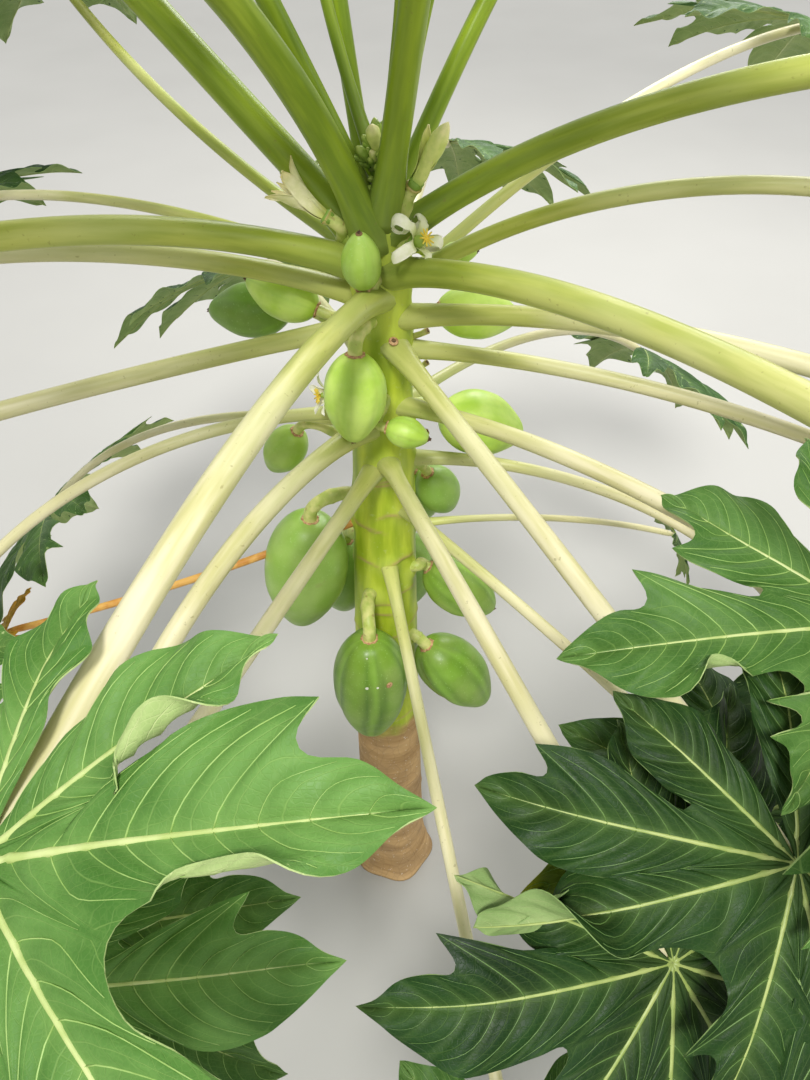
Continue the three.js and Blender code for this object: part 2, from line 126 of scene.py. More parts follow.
PALE_BY_RIB = 4  # how fast the paler band beside a rib fades
PALE_BY_VEIN = 2
VEIN_LIFT = 0.1
VEIN_RADIUS = 0.85
VEIN_FULL_LENGTH = 70  # shorter side veins are thinner
RIB_SHARE = 0.3  # of the stalk's radius
LEAST_RIB = 0.3  # the radius of a rib at its tip
VEIN_SIDES = 3
# steps between two side veins, rows from rib to margin, points along a side vein, and sides of a rib
NEAR_DETAIL = (5, 9, 11, 6)
FAR_DETAIL = (3, 4, 5, 4)

Leaf = namedtuple("Leaf", "height facing rise dip sweep length foot tip reach turn pitch roll droop")
LEAVES = [Leaf(*row) for row in (
    (1182, 203, 28, -28, 6, 735, 13.5, 10, 285, 0, -22, 0, 0.35),
    (1150, 187, 22, -23, 3, 680, 10, 8.5, 270, 0, -24, 0, 0.35),
    (1215, 223, 70, 26, 0, 590, 14.5, 11.5, 280, 0, -5, 0, 0.35),
    (1205, 170, 48, 46, -2, 650, 15, 11.5, 285, 0, 0, 0, 0.35),
    (1240, 192, 68, 61, 0, 450, 9.5, 8, 180, 0, 55, 0, 0.3),
    (1180, 130, 6, 18, -10, 640, 7, 6, 250, 0, -15, 0, 0.35),
    (1225, 125, 72, 85, 0, 430, 8.5, 7, 165, 0, 60, 0, 0.3),
    (1238, 42, 79, 64, 0, 335, 6.5, 5.5, 120, 0, 62, 0, 0.3),
    (1236, 286, 68, 60, -3, 500, 12.5, 10, 240, 0, 10, 0, 0.3),
    (1232, 41, 59, 36, 0, 550, 9, 7.5, 240, 0, 0, 0, 0.35),
    (1215, 334, 43, -7, 0, 740, 12.5, 10, 285, 0, -20, 0, 0.35),
    (1147, 41, 24, -5, 0, 700, 6.5, 6, 260, 0, -20, 0, 0.35),
    (1165, 344, 41, -28, -5, 665, 8, 7, 270, 0, -22, 0, 0.35),
    (1180, 306, 27, -16, 7, 780, 12.5, 10.5, 285, 0, -20, 0, 0.35),
    (1130, 332, 20, -21, 0, 740, 10, 8, 280, 0, -20, 0, 0.35),
    (1000, 47, 2, -41, -6, 620, 6, 6, 250, 0, -35, 0, 0.35),
    (1092, 342, 8, -26, 2, 680, 8, 7, 270, 0, -30, 0, 0.35),
    (1029, 313, 21, -4, -3, 512, 8.5, 7.5, 262, -12, -21, -1, 0.3),
    (945, 350, 7, -54, -7, 570, 7, 6, 250, 0, -40, 0, 0.35),
    (835, 6, 7, -24, 5, 360, 4.5, 4, 80, 0, -60, 0, 0.35),
    (1105, 299, -4, -14, 4, 578, 9.5, 8, 243, -16, -35, 2, 0.3),
    (958, 292, 27, -33, 24, 597, 9, 7.5, 255, 14, -38, 14, 0.3),
    (888, 310, 2, -9, 1, 500, 6.5, 6, 260, 0, -25, 0, 0.35),
    (800, 281, -7, -18, 2, 675, 7, 6, 230, 0, -30, 0, 0.35),
    (949, 248, 12, -8, -10, 608, 9, 7.5, 247, 4, -36, 2, 0.3),
    (1003, 243, 18, -44, 10, 590, 10.5, 9, 228, 6, -48, 8, 0.3),
    (1157, 253, 22, -18, -8, 616, 12, 10, 271, -3, -31, 20, 0.3),
    (1118, 198, -1, -12, -2, 740, 9.5, 8, 270, 0, -24, 0, 0.35),
    (1010, 199, 12, -60, 12, 625, 7, 6, 260, 0, -45, 0, 0.35),
    (980, 160, -5, -52, 8, 580, 5.5, 5, 240, 0, -45, 0, 0.35),
    (850, 188, -22, -12, -2, 480, 5, 4.5, 110, 0, -50, 0, 0.35),
    (1165, 152, 8, -22, 1, 690, 6, 5.5, 255, 0, -25, 0, 0.35),
    (1100, 82, 15, -25, 0, 640, 7, 6, 265, 0, -25, 0, 0.35),
    (1030, 112, 5, -35, 0, 620, 6.5, 5.5, 260, 0, -35, 0, 0.35),
)]
YOUNG_FOOT = 1274
YOUNG_LEAVES = [
    Leaf(YOUNG_FOOT, 150, 66, 80, 0, 215, 5.5, 4.5, 95, 0, 55, 0, 0.3),
    Leaf(YOUNG_FOOT, 55, 76, 84, 0, 190, 5, 4, 75, 0, 65, 0, 0.3),
]
NEAR_LEAVES = (18, 21, 22, 23, 24, 25, 26, 27)
WITHERED_LEAF = 31
# how light the green of some leaves is, from 0 to 1
# partly each leaf's own green and partly painted light: 25 to 27 lighter as if in sun, 21 and 22 darker as
# if in shade
LEAF_TONE_AND_PAINTED_LIGHT = {
    18: 0.75, 21: 0.1, 22: 0.05, 23: 0.2, 24: 0.4, 25: 0.95,
    26: 0.7, 27: 1.0, 28: 0.7, 29: 0.7, 35: 0.9, 36: 0.9,
}
# the lobes of a leaf that have turned yellow
YELLOW_LOBES = {23: (1,)}

# Lobe margins from the sinus to the tip, in lobe lengths along and across the rib.
# Each has a point where a side vein ends, and the third one is the side lobe.
LOBED = [
    (0.5, 0.15), (0.61, 0.188), (0.745, 0.225), (0.715, 0.118), (0.79, 0.112), (0.87, 0.086), (0.94, 0.043),
]
PLAIN = [(0.5, 0.15), (0.6, 0.178), (0.7, 0.184), (0.76, 0.17), (0.83, 0.132), (0.9, 0.084), (0.955, 0.036)]
BROAD = [
    (0.5, 0.172), (0.6, 0.222), (0.72, 0.236), (0.83, 0.216), (0.785, 0.125), (0.88, 0.098), (0.95, 0.05),
]
CUT = [(0.5, 0.165), (0.64, 0.275), (0.635, 0.15), (0.8, 0.225), (0.775, 0.11), (0.87, 0.08), (0.94, 0.04)]
# each kind of margin with its sharp points
KINDS = [(PLAIN, ()), (LOBED, (3,)), (BROAD, (4,)), (CUT, (2, 4))]
# where the side veins leave the rib, from the hub to the tip
VEINS_AT = [0, 0.10, 0.21, 0.30, 0.39, 0.49, 0.58, 0.67, 0.77, 0.88, 1]
SINUS_VEIN = 2
# Lobes near the main view that are given one by one: leaf and lobe, then the kinds and widths of the margins
# clockwise and anticlockwise of the rib, and the twist of the lobe's outer part
Lobe = namedtuple("Lobe", "kinds widths twist")
CHOSEN_LOBES = {
    (27, 0): Lobe((0, 0), (0.95, 0.95), 8),
    (27, 8): Lobe((0, 0), (0.9, 1.0), -6),
    (27, 7): Lobe((0, 2), (0.75, 1.0), 0),
    (27, 6): Lobe((3, 1), (1.0, 0.9), 0),
    (27, 5): Lobe((3, 3), (1.0, 1.0), 0),
    (25, 7): Lobe((0, 1), (1.05, 1.0), 0),
    (18, 0): Lobe((0, 2), (1.2, 1.1), 4),
    (18, 1): Lobe((1, 0), (1.05, 0.95), -6),
    (21, 0): Lobe((0, 0), (0.95, 0.95), 6),
    (21, 1): Lobe((2, 0), (0.85, 0.9), -4),
    (21, 2): Lobe((0, 0), (0.8, 0.8), 150),
    (22, 0): Lobe((0, 0), (0.95, 0.9), -150),
    (22, 1): Lobe((1, 0), (1.0, 1.1), 0),
}
# Half lobes that are rolled over: leaf, lobe and side, then the roll, the share of the width where it
# starts, and the shares of the rib between which it runs
FOLDS = {
    (27, 8, -1): (150, 0.30, 0.46, 0.86),
    (27, 7, -1): (155, 0.42, 0.46, 0.86),
    (18, 1, 1): (150, 0.45, 0.44, 0.72),
}

# Fruits and flowers: numbers as in the solids
Fruit = namedtuple("Fruit", "facing out height way slope radius half foot_height foot_facing stem")
FRUITS = [Fruit(*row) for row in (
    (253, 58, 1212, 262, 78, 17.5, 30, 1172, 262, 6),
    (172, 100, 1140, 165, 18, 24, 39, 1108, 178, 6),
    (158, 152, 1098, 168, -8, 29, 47, 1092, 165, 6),
    (250, 76, 1077, 255, -80, 30.5, 48, 1128, 250, 7),
    (291, 72, 1030, 345, -8, 16, 23, 1040, 275, 5),
    (22, 106, 1104, 12, -12, 27, 46, 1110, 25, 6),
    (12, 113, 972, 8, -22, 36, 52, 1000, 15, 7),
    (35, 82, 850, 25, -65, 27, 40, 900, 35, 6),
    (191, 101, 774, 185, -82, 51, 94, 888, 195, 8),
    (259, 98, 638, 262, -86, 48, 94, 746, 247, 8),
    (338, 103, 588, 355, -54, 43, 73, 650, 322, 8),
    (350, 98, 740, 350, -36, 36, 55, 775, 335, 7),
    (128, 96, 668, 130, -84, 44, 76, 765, 130, 8),
    (152, 138, 900, 158, -60, 25, 42, 938, 150, 6),
    (8, 74, 1186, 8, 4, 11, 18, 1182, 12, 4),
    (75, 95, 655, 75, -85, 43, 74, 752, 75, 8),
    (65, 96, 812, 62, -70, 36, 58, 880, 70, 7),
)]
# for each fruit: how light its green is, how much bloom dulls it, and how deep its grooves are
# the lightness is partly each fruit's own green and partly painted light: 4, 6 and 7, which sit in shade,
# get the lightest green
FRUIT_LOOKS = [
    (0.6, 0.0, 0.020), (1.0, 0.0, 0.015), (0.27, 0.05, 0.012), (1.0, 0.1, 0.030), (0.8, 0.0, 0.030),
    (1.0, 0.0, 0.012), (1.0, 0.1, 0.015), (0.45, 0.4, 0.010), (0.52, 0.35, 0.012), (0.34, 0.0, 0.085),
    (0.3, 0.0, 0.045), (0.45, 0.05, 0.055), (0.4, 0.4, 0.015), (0.7, 0.2, 0.012), (0.9, 0.0, 0.020),
    (0.38, 0.2, 0.030), (0.5, 0.2, 0.020),
]
# how far the nearest groove stands from the front, in radians
GROOVE_TURNS = {1: 0.5, 4: 0.35, 9: 0.6, 10: -0.08, 11: 0.25}
FOLDED_FRUIT = 11  # has one deep fold down its side
SPOTTED_FRUIT = 10
# the materials of a fruit, in the order of its mesh's slots
SKIN_SLOT, STEM_SLOT, DRY_SLOT, LATEX_SLOT, SCAB_SLOT = range(5)
# drops of latex and a scab on the spotted fruit: across, along, radius and slot
SPOTS = [
    (-0.06, 49, 2.2, LATEX_SLOT), (0.27, 51, 1.7, LATEX_SLOT), (0.7, 50, 4.4, SCAB_SLOT),
    (0.7, 50, 1.8, LATEX_SLOT), (-0.1, 13, 1.2, LATEX_SLOT),
]
FRUIT_RINGS = 40
FRUIT_SIDES = 50
FRUIT_STEM_ARCH = 10
FLOWER_STEM_ARCH = 4
STEM_STANDS_OUT = 9
FIVE = 5  # petals, arms of the stigma and dry tips on a fruit
Flower = namedtuple("Flower", "name facing out height way slope length width foot_height foot_facing stem")
FLOWERS = [Flower(*row) for row in (
    ("flower_left", 200, 48, 1232, 172, 35, 66, 15, 1198, 178, 6),
    ("flower_front", 300, 52, 1222, 320, 35, 34, 15, 1196, 300, 6),
    ("flower_low", 225, 62, 1062, 205, 10, 34, 11, 1050, 222, 4),
    ("flower_right", 318, 36, 1262, 330, 62, 72, 11, 1222, 318, 6),
)]
CLOSED_FLOWER = "flower_right"
HALF_OPEN_FLOWER = "flower_left"
# petals: lean, curl and twist, then their width and length as shares of the flower's
PETAL_LOOKS = {
    "flower_left": (7, 34, 40, 0.46, 1),
    "flower_front": (34, 400, 60, 0.36, 2.3),
    "flower_low": (26, 70, 25, 0.42, 1),
}
PETAL_THICK = 0.7

# Growing tip
TIP_BASE = 1262
TIP_LENGTH = 48
TIP_RADIUS = 9
# large and small buds round it: facing, base, slope, length and radius
BUDS = [
    (255, 12, 62, 50, 7), (215, 8, 50, 34, 5), (300, 10, 70, 36, 5), (20, 14, 66, 34, 5),
    (110, 16, 66, 34, 5),
]
SMALL_BUDS = [
    (262, 4, 40, 27, 3.8), (248, 10, 52, 29, 4), (268, -4, 18, 22, 3.4), (238, -2, 30, 20, 3.2),
    (275, 10, 55, 24, 3.4),
]
PALE_BUDS = (0, 6)

# Camera, in metres and degrees
CAMERA_AT = (0.021, -0.791, 1.600)
CAMERA_TILT = 45
CAMERA_LENS = 30
CAMERA_SENSOR = 36
EXPOSURE = 0.2


def lerp(a, b, share):
    return a + (b - a) * share


def ease(low, high, x):
    share = np.clip((x - low) / (high - low), 0, 1)
    return share * share * (3 - 2 * share)


def hump(x, width):
    """1 at 0, and fading to 0 over width on both sides."""
    return np.exp(-(x / width) ** 2)


def unit(v):
    return v / np.maximum(np.linalg.norm(v, axis=-1, keepdims=True), 1e-12)


def heading(compass, slope):
    c, s = math.radians(compass), math.radians(slope)
    return np.array([math.cos(s) * math.cos(c), math.cos(s) * math.sin(c), math.sin(s)])


def square_to(way):
    """Two directions square to a direction and to each other."""
    guess = np.array([0, 1.0, 0]) if abs(way[2]) > 0.9 else np.array([0, 0, 1.0])
    side = unit(np.cross(way, guess))
    return side, np.cross(way, side)


def around(way, angle):
    """The direction at an angle round another one."""
    side, other = square_to(way)
    return side * math.cos(angle) + other * math.sin(angle)


def full_circle(count):
    return np.linspace(0, 2 * np.pi, count, endpoint=False)


def circle(side, other, turn):
    """Directions round a circle, in the plane of two directions that are square to each other."""
    return np.cos(turn)[:, None] * side[..., None, :] + np.sin(turn)[:, None] * other[..., None, :]


def seeded(*keys):
    """A fixed number from 0 to 1 for each set of whole numbers. The last one tells the draws apart."""
    wave = math.sin(sum((key + 1) * (12.9898 + 65.233 * i) for i, key in enumerate(keys))) * 43758.5453
    return wave - math.floor(wave)


def trunk_radius(height):
    return float(np.interp(height, TRUNK_HEIGHTS, TRUNK_RADII))


def trunk_axis(height):
    return -TRUNK_BOW * np.sin(np.pi * height / TRUNK_TOP)


def beside(facing, out, height):
    a = math.radians(facing)
    return np.array([trunk_axis(height) + out * math.cos(a), out * math.sin(a), height])


def linear(red, green, blue):
    """A colour given as it looks on a screen, from 0 to 255, as light."""
    def channel(c):
        c /= 255
        return c / 12.92 if c <= 0.04045 else ((c + 0.055) / 1.055) ** 2.4
    return channel(red), channel(green), channel(blue), 1


# Mesh making. A part is (points, faces, index of its material, {attribute: values}).
def make_piece(name, parts, materials, replaced=()):
    points, faces, slots = [], [], []
    names = sorted({key for part in parts for key in part[3]})
    values = {key: [] for key in names}
    first = 0
    for part_points, part_faces, material_index, attributes in parts:
        points.append(part_points)
        for group in part_faces:
            faces.extend((np.asarray(group) + first).tolist())
            slots.extend([material_index] * len(group))
        for key in names:
            values[key].append(np.broadcast_to(attributes.get(key, 0.0), len(part_points)))
        first += len(part_points)
    mesh = bpy.data.meshes.new(name)
    mesh.from_pydata((np.concatenate(points) * MM).tolist(), [], faces)
    for material in materials:
        mesh.materials.append(material)
    mesh.polygons.foreach_set("material_index", slots)
    mesh.polygons.foreach_set("use_smooth", [True] * len(faces))
    for key in names:
        layer = mesh.attributes.new(key, "FLOAT", "POINT")
        layer.data.foreach_set("value", np.concatenate(values[key]).astype(np.float32))
    mesh.update()
    piece = bpy.data.objects.new(name, mesh)
    bpy.context.scene.collection.objects.link(piece)
    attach(piece, "root")
    if replaced:
        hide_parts(*replaced)


def grid_faces(rows, columns, closed):
    """Quads between rows of points. closed joins each row's last point to its first."""
    i, j = np.meshgrid(np.arange(rows - 1), np.arange(columns if closed else columns - 1), indexing="ij")
    after = (j + 1) % columns
    row, next_row = i * columns, (i + 1) * columns
    return np.stack([row + j, row + after, next_row + after, next_row + j], -1).reshape(-1, 4)


def ring_faces(rings, sides):
    """Faces of a closed form that is made of rings of points."""
    first = np.arange(sides)[None]
    return [grid_faces(rings, sides, True), first[:, ::-1], (rings - 1) * sides + first]


def tube(line, radii, sides, index=0, attributes=None):
    """A closed round bar along a line."""
    line = np.asarray(line, float)
    radii = np.broadcast_to(radii, len(line))
    along = unit(np.gradient(line, axis=0))
    side = np.zeros_like(line)
    guess = np.array([1.0, 0, 0]) if abs(along[0][2]) > 0.9 else np.array([0, 0, 1.0])
    for i, way in enumerate(along):
        guess = unit(guess - way * way.dot(guess))
        side[i] = guess
    ring = circle(side, np.cross(along, side), full_circle(sides))
    points = line[:, None] + ring * radii[:, None, None]
    spread = {key: np.repeat(np.broadcast_to(v, len(line)), sides) for key, v in (attributes or {}).items()}
    return points.reshape(-1, 3), ring_faces(len(line), sides), index, spread


def turned(start, way, places, radii, sides, index=0, warp=None, attributes=None, sink=0):
    """A closed form round an axis: radii at places along it. warp gives each point's share of its radius."""
    turn = full_circle(sides)
    share = np.ones((len(places), sides))
    if warp is not None:
        share = warp(turn[None], np.linspace(0, 1, len(places))[:, None])
    places = np.asarray(places, float) + sink
    ring = circle(*square_to(way), turn)[None] * (np.asarray(radii)[:, None] * share)[..., None]
    points = start + places[:, None, None] * way + ring
    spread = {}
    for key, value in (attributes or {}).items():
        spread[key] = np.broadcast_to(value, (len(places), sides)).reshape(-1)
    return points.reshape(-1, 3), ring_faces(len(places), sides), index, spread


def button(point, way, radius, height, index):
    """A low dome that stands on a surface."""
    rise = np.linspace(0, np.pi / 2, 6)
    places = np.concatenate([[-height], np.sin(rise) * height])
    radii = np.concatenate([[radius * 0.9], np.cos(rise) * radius + 0.02])
    return turned(point, way, places, radii, 12, index)


def five_ribbed(depth):
    """A warp that gives a cup or rim five low ribs."""
    return lambda turn, s: 1 + depth * np.abs(np.sin(2.5 * turn))


def slab(grid, thick, index, attributes):
    """A thin closed sheet over a grid of points."""
    rows, columns = grid.shape[:2]
    normals = unit(np.cross(np.gradient(grid, axis=0), np.gradient(grid, axis=1)))
    flat, normals = grid.reshape(-1, 3), normals.reshape(-1, 3)
    count = len(flat)
    quads = grid_faces(rows, columns, False)
    number = np.arange(count).reshape(rows, columns)
    loop = np.concatenate([number[0, :-1], number[:-1, -1], number[-1, :0:-1], number[:0:-1, 0]])
    after = np.roll(loop, -1)
    rim = np.stack([loop, after, after + count, loop + count], -1)
    points = np.concatenate([flat + normals * thick / 2, flat - normals * thick / 2])
    spread = {}
    for key, value in attributes.items():
        spread[key] = np.tile(np.broadcast_to(value, (rows, columns)).reshape(-1), 2)
    return points, [quads[:, ::-1], quads + count, rim[:, ::-1]], index, spread


def smooth_line(points, corners, first_way, steps):
    """Steps points on each stretch of a smooth line through points, sharp at corners."""
    points = np.asarray(points, float)
    gaps = np.diff(points, axis=0)
    lengths = np.linalg.norm(gaps, axis=1)
    ways = gaps / lengths[:, None]
    made = [points[:1]]
    share = (np.arange(steps) + 1)[:, None] / steps
    squares, cubes = share ** 2, share ** 3

    def way_at(i):
        return unit(ways[i - 1] * lengths[i] + ways[i] * lengths[i - 1])

    for i, length in enumerate(lengths):
        leave = first_way if i == 0 else ways[i] if i in corners else way_at(i)
        arrive = ways[i] if i + 1 == len(lengths) or i + 1 in corners else way_at(i + 1)
        made.append(
            points[i] * (2 * cubes - 3 * squares + 1)
            + points[i + 1] * (3 * squares - 2 * cubes)
            + leave * length * (cubes - 2 * squares + share)
            + arrive * length * (cubes - squares)
        )
    return np.concatenate(made)


def through(points, steps):
    """A smooth line through a few points."""
    return smooth_line(points, (), unit(np.asarray(points[1]) - np.asarray(points[0])), steps)


# Materials
class Wire:
    """A node's output, which can be added, subtracted and multiplied."""

    def __init__(self, paint, socket):
        self.paint = paint
        self.socket = socket

    def __add__(self, other):
        return self.paint.math("ADD", self, other)

    def __sub__(self, other):
        return self.paint.math("SUBTRACT", self, other)

    def __mul__(self, other):
        return self.paint.math("MULTIPLY", self, other)


class Paint:
    """A material under construction. A colour is a wire, or red, green and blue from 0 to 255."""

    def __init__(self, name, **values):
        self.material = bpy.data.materials.new(name)
        self.material.use_nodes = True
        self.tree = self.material.node_tree
        self.shader = self.tree.nodes["Principled BSDF"]
        for key, value in values.items():
            self.shader.inputs[key.replace("_", " ")].default_value = value
        self.place = self.node("TexCoord", {}, "Object")

    def put(self, socket, value):
        if isinstance(value, Wire):
            self.tree.links.new(value.socket, socket)
        else:
            socket.default_value = value

    def node(self, kind, inputs, output, **settings):
        made = self.tree.nodes.new("ShaderNode" + kind)
        for key, value in settings.items():
            setattr(made, key, value)
        for key, value in inputs.items():
            self.put(made.inputs[key], value)
        return Wire(self, made.outputs[output])

    def attribute(self, name):
        return self.node("Attribute", {}, "Fac", attribute_name=name)

    def math(self, operation, a, b=0.0):
        return self.node("Math", {0: a, 1: b}, "Value", operation=operation)

    def from_middle(self, value):
        """How far a value is from the middle between two whole numbers."""
        return self.math("ABSOLUTE", self.math("FRACT", value) - 0.5)

    def stretched(self, scale):
        return self.node("Mapping", {"Vector": self.place, "Scale": scale}, "Vector")

    def along_bar(self):
        """Coordinates that run along a bar: its cross-section, and its length drawn out."""
        names = {"X": "cross_x", "Y": "cross_y", "Z": "length"}
        return self.node("CombineXYZ", {key: self.attribute(names[key]) for key in names}, "Vector")

    def noise(self, scale, detail, place=None):
        inputs = {"Vector": place or self.place, "Scale": scale, "Detail": detail}
        return self.node("TexNoise", inputs, "Fac")

    def cells(self, scale, place=None):
        """The distance from the borders of small cells."""
        inputs = {"Vector": place or self.place, "Scale": scale}
        return self.node("TexVoronoi", inputs, "Distance", feature="DISTANCE_TO_EDGE")

    def span(self, value, low, high, to_low=0.0, to_high=1.0):
        inputs = {"Value": value, "From Min": low, "From Max": high, "To Min": to_low, "To Max": to_high}
        return self.node("MapRange", inputs, "Result", interpolation_type="SMOOTHSTEP")

    def patches(self, scale, detail, low, high, *ends, place=None):
        """Noise as soft patches, none below low and full above high."""
        return self.span(self.noise(scale, detail, place), low, high, *ends)

    def mix(self, share, first, second):
        made = self.tree.nodes.new("ShaderNodeMix")
        made.data_type = "RGBA"
        self.put(made.inputs["Factor"], share)
        for key, colour in (("A", first), ("B", second)):
            self.put(made.inputs[key], linear(*colour) if isinstance(colour, tuple) else colour)
        return Wire(self, made.outputs["Result"])

    def layers(self, colour, tops):
        """A colour with others laid over it, each by its share."""
        for share, top in tops:
            colour = self.mix(share, colour, top)
        return colour

    def bump(self, height, distance, strength):
        return self.node("Bump", {"Height": height, "Distance": distance, "Strength": strength}, "Normal")

    def done(self, colour, normal=None, roughness=None):
        for key, value in (("Base Color", colour), ("Normal", normal), ("Roughness", roughness)):
            if value is not None:
                self.put(self.shader.inputs[key], value)
        return self.material


def blade_paint(name, dark, light, rib, net, roughness):
    """A blade: small veins between the side veins, broad patches and a paler band beside each rib.

    dark and light are pairs of colours, and net is the strength of the small veins. The attribute column
    counts the side veins along a rib, and row goes from the rib to the margin.
    """
    p = Paint(name, Roughness=roughness, Specular_IOR_Level=0.16)
    age, row = p.attribute("age"), p.attribute("row")
    patch = p.patches(16, 4, 0.32, 0.7)
    wander = (p.noise(60, 2) - 0.5) * 0.22
    forwards = p.math("POWER", row, 4.0) * 0.85
    off = p.from_middle(p.attribute("column") - forwards + wander)
    between = p.span(off, 0.008, 0.035, 1.0, 0.0)
    rungs = p.span(p.from_middle(row * 7.0 + p.noise(45, 1) * 1.8), 0.015, 0.06, 1.0, 0.0)
    fine = p.span(p.cells(300), 0.0, 0.12, 1.0, 0.0)
    web = p.math("MAXIMUM", between, p.math("MAXIMUM", rungs * 0.6, fine * 0.3))
    # painted shade: the green darkens towards the side veins, in the grooves between the raised panels
    groove_shade = p.span(off, 0.0, 0.5) * p.span(row, 0.05, 0.4)
    faded = p.attribute("yellow") * p.patches(11, 2, 0.36, 0.56, 0.25, 0.95)
    # the leaf's lightness picks between the dark and light greens and thins the small veins; partly painted
    # light and shade
    colour = p.layers(p.mix(age, p.mix(patch, *dark), p.mix(patch, *light)), [
        (web * p.span(age, 0.0, 0.8, 0.35 * net, net), rib),
        (groove_shade * 0.3, p.mix(age, dark[0], light[0])),
        (p.attribute("pale") * 0.3, rib),
        (faded, p.mix(patch, (122, 132, 14), (164, 160, 22))),
    ])
    height = p.noise(90, 3) * 0.8 - web * 0.4
    rough = p.patches(40, 3, 0.3, 0.7, roughness - 0.06, roughness + 0.1)
    return p.done(colour, p.bump(height, 0.0011, 0.6), rough)


def stalk_paint():
    """A stalk: green near the top of the tree, then yellow-green, and cream lower and further out."""
    p = Paint("leaf_stalk", Roughness=0.36, Specular_IOR_Level=0.3)
    tint = p.attribute("tint")
    bar = p.along_bar()
    streak = p.patches(130, 3, 0.32, 0.7, place=bar)
    soft = p.mix(p.span(tint, 0.1, 0.9), (158, 176, 40), (234, 226, 196))
    colour = p.layers(p.mix(streak, (96, 124, 12), (134, 158, 28)), [
        (p.span(tint, 0.05, 0.55), p.mix(streak, (162, 172, 58), (192, 194, 92))),
        (p.span(tint, 0.45, 1.0), p.mix(streak, (204, 196, 142), (228, 218, 180))),
        (p.patches(9, 2, 0.35, 0.7, 0.0, 0.35), soft),
        (p.patches(210, 3, 0.66, 0.74) * 0.4, (126, 112, 52)),
        (p.attribute("wax") * 0.4, (204, 212, 140)),
    ])
    return p.done(colour, p.bump(p.noise(240, 3, bar), 0.0005, 0.4))


def vein_paint(name, pale, dark=None):
    """A rib or vein, in a pair of colours. dark is the pair that it has on a dark blade."""
    p = Paint(name, Roughness=0.45)
    patch = p.patches(60, 2, 0.35, 0.65)
    colour = p.mix(patch, *pale)
    # on a dark blade the veins are darker too, which for some leaves is painted shade
    if dark:
        colour = p.mix(p.span(p.attribute("age"), 0.1, 0.8), p.mix(patch, *dark), colour)
    return p.done(colour, p.bump(p.noise(500, 2), 0.0003, 0.3))


def bark_paint():
    """Green skin with lighter stripes, worn to brown bark with fine level lines near the ground."""
    p = Paint("trunk_bark", Roughness=0.5, Specular_IOR_Level=0.25)
    scar = p.attribute("scar")
    streak = p.patches(70, 4, 0.35, 0.68, place=p.stretched((1, 1, 0.14)))
    green = p.layers(p.mix(streak * 0.5 + p.attribute("stripe") * 0.5, (136, 162, 16), (206, 218, 66)), [
        (p.attribute("wax") * 0.55, (206, 214, 120)),
        (p.patches(150, 3, 0.62, 0.72) * 0.3, (196, 204, 140)),
        (scar * 0.75, (186, 152, 106)),
    ])
    level = p.patches(20, 5, 0.3, 0.72, place=p.stretched((1, 1, 7)))
    bands = p.patches(6, 3, 0.4, 0.62, place=p.stretched((1, 1, 5)))
    crack = p.span(p.cells(62, p.stretched((1, 1, 0.45))), 0.0, 0.07, 1.0, 0.0)
    brown = p.layers(p.mix(level, (160, 126, 80), (184, 150, 102)), [
        (bands * 0.55, (208, 172, 120)),
        (p.patches(22, 4, 0.38, 0.7) * 0.4, (138, 114, 84)),
        (crack * 0.16, (100, 78, 54)),
        (p.patches(240, 2, 0.66, 0.74) * 0.75, (222, 212, 194)),
        (scar * 0.36, (104, 78, 52)),
    ])
    height = p.node("SeparateXYZ", {"Vector": p.place}, "Z") + p.noise(16, 3) * (BARK_TOP_WANDER * MM)
    low, high = (BARK_TOP - BARK_TOP_BLEND) * MM, (BARK_TOP + BARK_TOP_BLEND) * MM
    share = p.span(height, low, high, 1.0, 0.0)
    rough = p.span(share, 0, 1, 0.42, 0.82)
    relief = (level - crack * 0.6) * share + p.noise(190, 3) * 0.25
    return p.done(p.mix(share, green, brown), p.bump(relief, 0.0005, 0.35), rough)


def fruit_paint():
    """Unripe skin: dull green with a bloom, pale dots and lighter lines in the grooves."""
    p = Paint("fruit_skin", Roughness=0.36, Specular_IOR_Level=0.35)
    along = p.attribute("along")
    deep = p.mix(p.patches(30, 3, 0.3, 0.7), (44, 92, 18), (70, 122, 30))
    pale = p.mix(p.patches(34, 3, 0.3, 0.7), (184, 218, 78), (214, 238, 120))
    # the light value is partly painted light, lifting fruits that sit in shade
    colour = p.layers(p.mix(p.attribute("light"), deep, pale), [
        (p.attribute("bloom") * 0.75, (150, 190, 112)),
        # painted shade down the sides of the grooves
        (p.attribute("band") * 0.6, (38, 88, 14)),
        (p.attribute("stripe") * p.span(along, 0.0, 0.25, 0.2, 0.42), (134, 178, 62)),
        (p.span(along, 0.86, 1.0, 0.0, 0.45), (150, 182, 80)),
        (p.patches(420, 1, 0.66, 0.74) * 0.35, (176, 206, 130)),
        (p.patches(55, 4, 0.68, 0.76) * 0.3, (150, 150, 90)),
    ])
    return p.done(colour, p.bump(p.noise(260, 3), 0.0004, 0.3), p.patches(60, 2, 0.3, 0.7, 0.3, 0.46))


def stem_paint():
    """A fruit's or flower's stem: pale green with brown flecks, and brown where it ends."""
    p = Paint("fruit_stem", Roughness=0.45)
    colour = p.layers(p.mix(p.patches(70, 3, 0.35, 0.65), (178, 192, 92), (216, 214, 136)), [
        (p.patches(160, 3, 0.62, 0.7) * 0.5, (150, 112, 62)),
        (p.span(p.attribute("out"), 0.9, 1.0, 0.0, 0.55), (172, 128, 62)),
    ])
    return p.done(colour, p.bump(p.noise(300, 3), 0.0005, 0.5))


